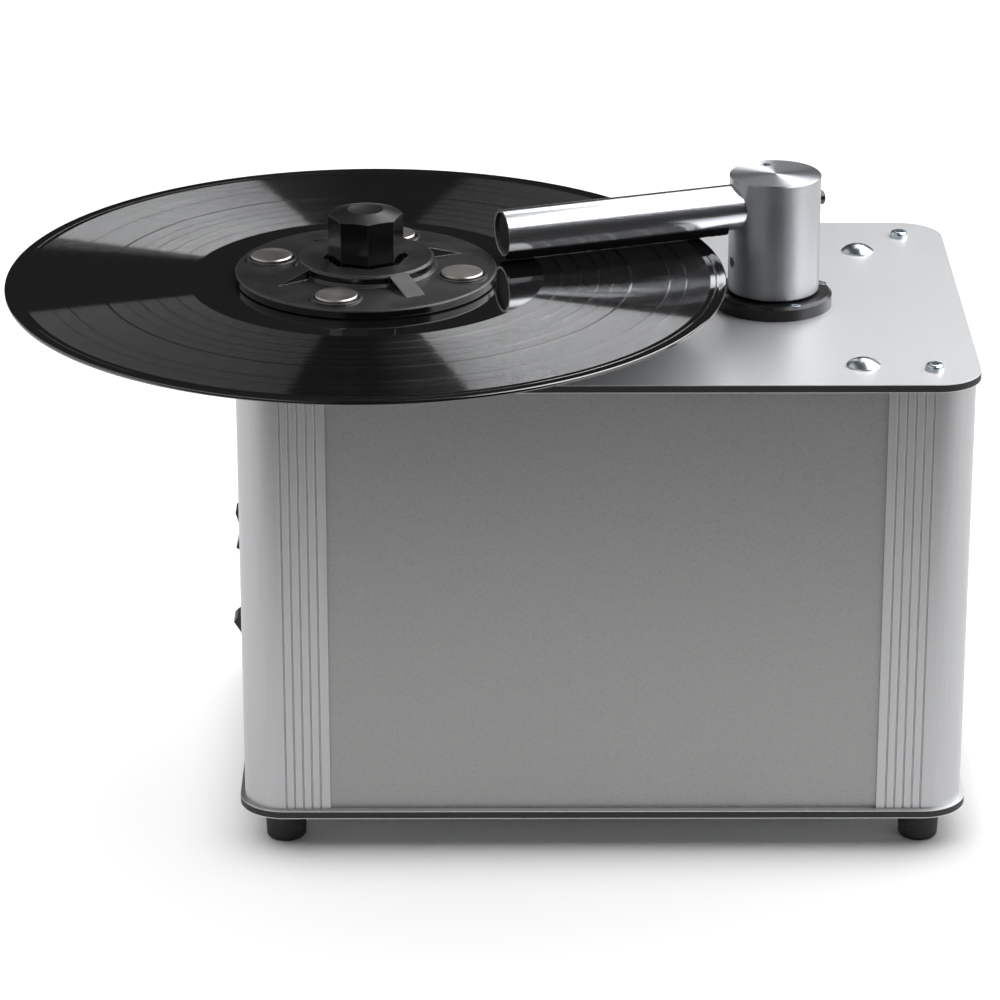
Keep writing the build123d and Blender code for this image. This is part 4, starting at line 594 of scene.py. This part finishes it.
def velvet_pile(name, tuft_length):
    """Two velvet strips under the tube, with a crowned pile that lies unevenly."""
    places = [along_arm(vertex.co) for vertex in nodes["velvet_strips"].data.vertices]
    start, end = min(p[0] for p in places), max(p[0] for p in places)
    inner, outer = min(abs(p[1]) for p in places), max(abs(p[1]) for p in places)
    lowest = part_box("velvet_strips")[0].z
    bare = tube_radius + BACK_GAP
    full = math.hypot(tube_axis - lowest, inner) - PILE_MARGIN
    form = bmesh.new()
    for side in (-1, 1):
        loops = []
        for row in range(PILE_ROWS + 1):
            reach = start + (end - start) * row / PILE_ROWS
            section = []
            for column in range(PILE_COLUMNS + 1):
                share = column / PILE_COLUMNS
                spot = Vector((reach / tuft_length, side * (share * TUFTS_ACROSS + STRIP_OFFSET), 0.0))
                height = 1.0 - UNEVENNESS + UNEVENNESS * noise.noise(spot)
                crown = (1.0 - abs(2.0 * share - 1.0) ** CROWN_POWER) * height
                radius = bare + (full - bare) * max(crown, THINNEST_PILE)
                section.append((inner + (outer - inner) * share, radius))
            for column in range(BACK_COLUMNS, -1, -1):
                section.append((inner + (outer - inner) * column / BACK_COLUMNS, bare))
            loops.append([form.verts.new(on_arm(reach, side * across, under_tube(across, radius)))
                          for across, radius in section])
        for loop, following in zip(loops, loops[1:]):
            for i in range(len(loop)):
                j = (i + 1) % len(loop)
                form.faces.new((loop[i], loop[j], following[j], following[i]))
        form.faces.new(loops[0])
        form.faces.new(loops[-1])
    return finished_mesh(name, form, SHARP_PILE)


# ---------------------------------------------------------------- pieces
def dress(names, material):
    """Gives CAD nodes a material."""
    for name in names:
        for place in nodes[name].material_slots:
            place.material = material


def new_piece(name, mesh, material, body, slot, *replaced):
    """Object for a mesh, with its material, body and the CAD nodes that it replaces; the slot is not used.
    """
    piece = bpy.data.objects.new(name, mesh)
    bpy.context.scene.collection.objects.link(piece)
    mesh.materials.append(material)
    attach(piece, body)
    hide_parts(*replaced)


# ---------------------------------------------------------------- studio, in metres
FLOOR_EXTENT = ((-1.8, -0.45), (1.8, 2.0))      # front left and back right corners
ROOM_REACH = 12.0               # from the middle to each wall, and up to the ceiling
ROOM_DROP = 0.001               # of the room's bottom under the floor
LIGHT_TARGET = Vector((0, 0, 0.2))
KEY_TINT = (0.97, 0.983, 1.0)
CAMERA_PLACE = (0.0011527, -1.7794603, 0.8467889)
CAMERA_DIP = 0.3785131          # below the horizon, in radians as the next two are
CAMERA_TURN = -0.00106109
CAMERA_ROLL = -0.00086369
LENS_MM = 159.703
SENSOR_MM = 36.0
CAMERA_SIGHT = 50.0             # beyond the room's walls


def softbox(name, azimuth, elevation, distance, size, strength):
    """Rectangular light that looks at the machine from an azimuth and elevation in degrees."""
    lamp = bpy.data.lights.new(name, "AREA")
    lamp.shape = "RECTANGLE"
    lamp.size, lamp.size_y = size
    lamp.energy = strength * math.pi * size[0] * size[1]
    box = bpy.data.objects.new(name, lamp)
    bpy.context.scene.collection.objects.link(box)
    around, above = math.radians(azimuth), math.radians(elevation)
    level = math.cos(above)
    direction = Vector((level * math.cos(around), level * math.sin(around), math.sin(above)))
    box.location = LIGHT_TARGET + direction * distance
    box.rotation_euler = direction.to_track_quat("Z", "Y").to_euler()
    return box


def light_only(lamps, receivers, state):
    """Lets lamps light the receivers only, or everything but them."""
    chosen = bpy.data.collections.new("lit_" + state.lower())
    for receiver in receivers:
        chosen.objects.link(receiver)
    for entry in chosen.collection_objects:
        entry.light_linking.link_state = state
    for lamp in lamps:
        lamp.light_linking.receiver_collection = chosen


def backdrop(name, corners, faces, paint):
    """Painted object made from corners and faces."""
    mesh = bpy.data.meshes.new(name)
    mesh.from_pydata(corners, [], faces)
    mesh.materials.append(paint)
    made = bpy.data.objects.new(name, mesh)
    bpy.context.scene.collection.objects.link(made)
    return made


def studio_floor(colour):
    """Flat pale floor."""
    (left, front), (right, back) = FLOOR_EXTENT
    corners = [(left, front, 0), (right, front, 0), (right, back, 0), (left, back, 0)]
    paint = Finish("floor_paint").surface(base_color=colour, roughness=0.9, specular_ior_level=0.0)
    floor = backdrop("floor", corners, [(0, 1, 2, 3)], paint)
    return floor


def studio_room():
    """White room that only the camera sees, so that it lights nothing."""
    sides = (-ROOM_REACH, ROOM_REACH)
    corners = [(x, y, z) for x in sides for y in sides for z in (-ROOM_DROP, ROOM_REACH)]
    walls = [(0, 1, 3, 2), (4, 6, 7, 5), (0, 4, 5, 1), (2, 3, 7, 6), (0, 2, 6, 4), (1, 5, 7, 3)]
    paint = Finish("room_paint").surface(
        base_color=(0, 0, 0), specular_ior_level=0.0, emission_color=(1, 1, 1), emission_strength=1.0)
    room = backdrop("room", corners, walls, paint)
    room.visible_diffuse = room.visible_glossy = room.visible_transmission = room.visible_shadow = False


def studio_lamps(studio, floor):
    """Three softboxes for the machine, and a floor light that only the machine's foot throws shadows in."""
    key = softbox("key_softbox", azimuth=8, elevation=44, distance=2.5, size=(3.9, 2.5), strength=studio.key)
    back = softbox("back_softbox", azimuth=71, elevation=43, distance=2.5, size=(1.1, 1.2),
                   strength=studio.back)
    fill = softbox("fill_softbox", azimuth=-171, elevation=36, distance=1.7, size=(5.2, 2.1),
                   strength=studio.fill)
    key.data.color = KEY_TINT
    light_only([key, back, fill], [floor], "EXCLUDE")
    floor_lamp = softbox("floor_light", azimuth=90, elevation=76, distance=3.0, size=(8.0, 7.0),
                         strength=studio.floor_light)
    light_only([floor_lamp], [floor], "INCLUDE")
    blockers = bpy.data.collections.new("floor_shadows")
    for name in nodes:
        if name == "bottom_plate" or name.startswith("foot_"):
            blockers.objects.link(nodes[name])
    floor_lamp.light_linking.blocker_collection = blockers


def studio_world(strength):
    """Even white light from all round."""
    world = bpy.data.worlds.new("room")
    world.use_nodes = True
    background = world.node_tree.nodes["Background"]
    background.inputs["Color"].default_value = (1, 1, 1, 1)
    background.inputs["Strength"].default_value = strength
    return world


def studio_camera():
    """Camera in front of the machine, which looks down on the record."""
    lens = bpy.data.cameras.new("camera")
    lens.sensor_width = SENSOR_MM
    lens.lens = LENS_MM
    lens.clip_end = CAMERA_SIGHT
    camera = bpy.data.objects.new("camera", lens)
    bpy.context.scene.collection.objects.link(camera)
    turn = Matrix.Rotation(CAMERA_TURN, 4, "Z") @ Matrix.Rotation(math.pi / 2 - CAMERA_DIP, 4, "X")
    turn = turn @ Matrix.Rotation(CAMERA_ROLL, 4, "Z")
    camera.matrix_world = Matrix.Translation(CAMERA_PLACE) @ turn
    return camera


# ---------------------------------------------------------------- settings
def colour_setting(title, words, default):
    return bpy.props.FloatVectorProperty(
        name=title, description=words, subtype="COLOR", size=3, min=0.0, max=1.0, default=default)


def light_setting(title, words, default):
    return bpy.props.FloatProperty(
        name=title, description=words + ", where 1 is white", default=default, min=0.0)


def length_setting(title, words, default):
    return bpy.props.FloatProperty(
        name=title, description=words, subtype="DISTANCE", unit="LENGTH", precision=5,
        default=default, min=0.0)


class MachineColours(bpy.types.PropertyGroup):
    """Colours of the machine's finishes."""
    plate: colour_setting("Plates", "Skins of the top and bottom plates", (0.70, 0.704, 0.71))
    core: colour_setting("Plate core", "Core that shows at the plates' edges", (0.012, 0.012, 0.013))
    profile: colour_setting("Corner profiles", "Anodised corner extrusions", (0.475, 0.477, 0.485))
    panel: colour_setting("Panels", "Blasted front, back and side panels", (0.350, 0.346, 0.343))
    turned: colour_setting("Turned parts", "Post, pillar, platter, bearing and motor", (0.465, 0.472, 0.488))
    tube: colour_setting("Suction tube", "Polished tube", (0.71, 0.72, 0.74))
    zinc: colour_setting("Screws", "Bright plated screws, bolts and bracket", (0.66, 0.72, 0.77))
    steel: colour_setting("Steel", "Weights in the clamp and the arm's spring", (0.54, 0.50, 0.465))
    dark_steel: colour_setting("Dark steel", "Blackened cap screw and nut", (0.09, 0.08, 0.08))
    clamp: colour_setting("Clamp", "Moulded record clamp", (0.016, 0.0158, 0.0165))
    black: colour_setting("Black plastic", "Knob, flange, switches and inlet", (0.008, 0.008, 0.009))
    rubber: colour_setting("Rubber", "Feet, mat, seal, hoses and cap", (0.014, 0.014, 0.014))
    vinyl: colour_setting("Record", "Pressed vinyl", (0.005, 0.005, 0.0055))
    label: colour_setting("Label", "Plain paper label", (0.42, 0.30, 0.14))
    velvet: colour_setting("Velvet", "Pads under the tube", (0.003, 0.003, 0.003))
    brass: colour_setting("Brass", "Bushes and contact pins", (0.72, 0.55, 0.26))
    tank: colour_setting("Tank", "Milky fluid tank", (0.72, 0.74, 0.73))
    circuit: colour_setting("Circuit board", "Solder mask of the supply board", (0.03, 0.17, 0.07))


class MachineSizes(bpy.types.PropertyGroup):
    """Sizes that only the looks use."""
    groove_pitch: length_setting("Groove pitch", "Distance between neighbouring grooves", 0.13 * MM)
    groove_inner: length_setting("Last groove", "Radius where the grooves end", 74.5 * MM)
    groove_outer: length_setting("First groove", "Radius where the grooves start", 144.0 * MM)
    groove_lean: bpy.props.FloatProperty(
        name="Groove steepness", description="Slope of the groove walls", subtype="FACTOR",
        default=1.0, min=0.0, max=2.0)
    edge_radius: length_setting("Record edge", "Rounding of the record's rim", 0.55 * MM)
    tuft_length: length_setting("Velvet tufts", "Length of the uneven tufts of the velvet", 2.2 * MM)
    plate_skin: length_setting("Plate skin", "Thickness of the plates' metal skins", 0.3 * MM)


class MachineStudio(bpy.types.PropertyGroup):
    """Lights and floor of the studio."""
    key: light_setting("Key light", "Brightness of the softbox on the right", 4.6)
    back: light_setting("Back light", "Brightness of the softbox behind", 2.5)
    fill: light_setting("Fill light", "Brightness of the softbox on the left", 0.64)
    floor_light: light_setting("Floor light", "Brightness of the light that only the floor gets", 2.15)
    world: light_setting("Room light", "Brightness of the even light", 0.03)
    floor: colour_setting("Floor", "Plain pale floor", (0.92, 0.92, 0.92))


# ---------------------------------------------------------------- operators
class DressHousing(bpy.types.Operator):
    """Finish the plates, corner profiles, panels and feet"""
    bl_idname = "machine.dress_housing"
    bl_label = "Housing"

    def execute(self, context):
        colours = context.scene.machine_colours
        skin = context.scene.machine_sizes.plate_skin
        for name in ("top_plate", "bottom_plate"):
            low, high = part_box(name)
            plate = composite_plate(name + "_skins", colours.plate, colours.core, low.z, high.z, skin)
            dress([name], plate)
        profiles = [name for name in nodes if name.startswith("corner_profile")]
        dress(profiles, extruded("satin_extrusion", colours.profile))
        panels = ["front_panel", "back_panel", "left_panel", "right_panel"]
        dress(panels, grained_sheet("blasted_sheet", colours.panel))
        feet = [name for name in nodes if name.startswith("foot_") and name != "foot_screws"]
        dress(feet, rubber("foot_rubber", colours.rubber))
        return {"FINISHED"}


class DressFasteners(bpy.types.Operator):
    """Finish the screws, bolts and nuts"""
    bl_idname = "machine.dress_fasteners"
    bl_label = "Fasteners"

    def execute(self, context):
        colours = context.scene.machine_colours
        dress(["corner_screws", "foot_screws", "dome_bolts", "dome_bolt_nuts", "bearing_screws",
               "arm_flange_screws", "inlet_screws"], plated("bright_zinc", colours.zinc))
        dress(["pillar_nut"], plated("dark_steel", colours.dark_steel, roughness=0.3))
        dress(["arm_screws"], set_screws("set_screw_steel", colours.zinc, colours.dark_steel))
        return {"FINISHED"}


class BuildRecord(bpy.types.Operator):
    """Make the record with its bead, track gaps and label"""
    bl_idname = "machine.build_record"
    bl_label = "Record"

    def execute(self, context):
        colours = context.scene.machine_colours
        sizes = context.scene.machine_sizes
        mesh = lathe("pressed_record", record_outline(sizes.edge_radius), spindle, RECORD_SEGMENTS)
        material = vinyl("grooved_vinyl", colours.vinyl, colours.label, sizes)
        new_piece("pressed_record", mesh, material, "platter", "vinyl", "record")
        return {"FINISHED"}


class DressClamp(bpy.types.Operator):
    """Finish the clamp, its weights, seal and knob"""
    bl_idname = "machine.dress_clamp"
    bl_label = "Clamp"

    def execute(self, context):
        colours = context.scene.machine_colours
        # the clamp's paler edges are partly a painted highlight, and its upright faces carry painted shade
        dress(["clamp_body"], moulded(
            "clamp_moulding", colours.clamp, roughness=0.34, grain_height=0.006, edge=0.7,
            edge_wear_and_highlight=CLAMP_EDGE_WEAR_AND_HIGHLIGHT, upright_gloss_and_shade=1.0))
        # the knob's upright faces are darkened with painted shade
        dress(["clamp_knob"], moulded(
            "knob_moulding", colours.black, roughness=0.34, grain_height=0.003, edge=0.6, upright_gloss_and_shade=1.0))
        dress(["clamp_discs"], plated(
            "steel_weights", colours.steel, roughness=0.30, grain_height=0.0003))
        dress(["clamp_seal"], rubber("seal_rubber", colours.rubber))
        dress(["knob_insert"], plated("knob_brass", colours.brass, roughness=0.25))
        return {"FINISHED"}


class DressArm(bpy.types.Operator):
    """Finish the post, tube and flange, make the velvet, and finish the pieces inside the post"""
    bl_idname = "machine.dress_arm"
    bl_label = "Suction arm"

    def execute(self, context):
        colours = context.scene.machine_colours
        dress(["arm_post"], turned("turned_post", colours.turned, arm_axis))
        dress(["suction_tube"], polished("polished_tube", colours.tube))
        dress(["tube_plug"], moulded("plug_moulding", colours.black, roughness=0.5))
        mesh = velvet_pile("velvet_pile", context.scene.machine_sizes.tuft_length)
        material = velvet("black_velvet", colours.velvet)
        new_piece("velvet_pile", mesh, material, "arm", "velvet", "velvet_strips")
        # the flange's upright faces are darkened with painted shade
        dress(["arm_flange"], moulded(
            "flange_finish", colours.black, roughness=0.3, grain_height=0.006, upright_gloss_and_shade=0.8))
        dress(["arm_pillar"], turned("turned_pillar", colours.turned, arm_axis))
        dress(["arm_sleeve"], plated("sleeve_brass", colours.brass, roughness=0.25))
        dress(["arm_spring"], plated("spring_steel", colours.steel, roughness=0.3))
        return {"FINISHED"}


class DressDrive(bpy.types.Operator):
    """Finish the platter, its bearing, mat and gear motor"""
    bl_idname = "machine.dress_drive"
    bl_label = "Platter drive"

    def execute(self, context):
        colours = context.scene.machine_colours
        dress(["platter", "bearing_housing"], turned("turned_platter", colours.turned, spindle))
        dress(["spindle", "motor_standoffs", "gear_motor"],
              plated("ground_steel", colours.zinc, roughness=0.24))
        dress(["platter_mat"], rubber("mat_rubber", colours.rubber))
        return {"FINISHED"}


class DressSwitches(bpy.types.Operator):
    """Finish the rocker switches"""
    bl_idname = "machine.dress_switches"
    bl_label = "Switches"

    def execute(self, context):
        black = context.scene.machine_colours.black
        dress(["spin_switch", "vacuum_switch"], moulded(
            "switch_moulding", black, roughness=0.45, grain_height=0.02, edge=0.25))
        dress(["spin_rocker", "vacuum_rocker"], moulded(
            "rocker_moulding", black, roughness=0.3, grain_height=0.006, edge=0.4))
        return {"FINISHED"}


class DressBack(bpy.types.Operator):
    """Finish the mains inlet and the drain on the back"""
    bl_idname = "machine.dress_back"
    bl_label = "Inlet and drain"

    def execute(self, context):
        colours = context.scene.machine_colours
        dress(["mains_inlet", "drain_spout"], moulded(
            "inlet_moulding", colours.black, roughness=0.42, grain_height=0.02))
        dress(["inlet_pins"], plated("contact_brass", colours.brass, roughness=0.22))
        dress(["drain_cap"], rubber("cap_rubber", colours.rubber))
        return {"FINISHED"}


class DressInside(bpy.types.Operator):
    """Finish the tank, hoses, vacuum unit and supply board"""
    bl_idname = "machine.dress_inside"
    bl_label = "Inside"

    def execute(self, context):
        colours = context.scene.machine_colours
        dress(["waste_tank", "tank_lid"], translucent("milky_plastic", colours.tank))
        dress(["tank_bracket"], plated("bracket_steel", colours.zinc, roughness=0.3))
        dress(["arm_hose", "suction_hose", "motor_mounts"], rubber("hose_rubber", colours.rubber))
        dress(["vacuum_motor"], plated("motor_can", colours.turned, roughness=0.35))
        dress(["fan_housing"], moulded("fan_moulding", colours.black, roughness=0.5))
        dress(["power_board"], board("circuit_board", colours.circuit))
        return {"FINISHED"}


class SetStudio(bpy.types.Operator):
    """Set the floor, lights and camera"""
    bl_idname = "machine.set_studio"
    bl_label = "Studio"

    def execute(self, context):
        scene = context.scene
        studio = scene.machine_studio
        floor = studio_floor(studio.floor)
        studio_room()
        studio_lamps(studio, floor)
        scene.world = studio_world(studio.world)
        scene.camera = studio_camera()
        scene.view_settings.view_transform = "Standard"
        return {"FINISHED"}


BUILDERS = [DressHousing, DressFasteners, BuildRecord, DressClamp, DressArm, DressDrive, DressSwitches,
            DressBack, DressInside, SetStudio]
SETTINGS = [MachineColours, MachineSizes, MachineStudio]


class MachinePanel(bpy.types.Panel):
    """Buttons and settings for the machine's looks"""
    bl_idname = "VIEW3D_PT_machine"
    bl_label = "Record cleaning machine"
    bl_space_type = "VIEW_3D"
    bl_region_type = "UI"
    bl_category = "Machine"

    def draw(self, context):
        for builder in BUILDERS:
            self.layout.operator(builder.bl_idname)
        scene = context.scene
        for group in (scene.machine_colours, scene.machine_sizes, scene.machine_studio):
            for name in group.__annotations__:
                self.layout.prop(group, name)


def register():
    for kind in SETTINGS + BUILDERS + [MachinePanel]:
        bpy.utils.register_class(kind)
    bpy.types.Scene.machine_colours = bpy.props.PointerProperty(type=MachineColours)
    bpy.types.Scene.machine_sizes = bpy.props.PointerProperty(type=MachineSizes)
    bpy.types.Scene.machine_studio = bpy.props.PointerProperty(type=MachineStudio)


def unregister():
    del bpy.types.Scene.machine_studio
    del bpy.types.Scene.machine_sizes
    del bpy.types.Scene.machine_colours
    for kind in reversed(SETTINGS + BUILDERS + [MachinePanel]):
        bpy.utils.unregister_class(kind)


def main():
    register()
    bpy.ops.machine.dress_housing()
    bpy.ops.machine.dress_fasteners()
    bpy.ops.machine.build_record()
    bpy.ops.machine.dress_clamp()
    bpy.ops.machine.dress_arm()
    bpy.ops.machine.dress_drive()
    bpy.ops.machine.dress_switches()
    bpy.ops.machine.dress_back()
    bpy.ops.machine.dress_inside()
    bpy.ops.machine.set_studio()


if __name__ == "__main__":
    main()
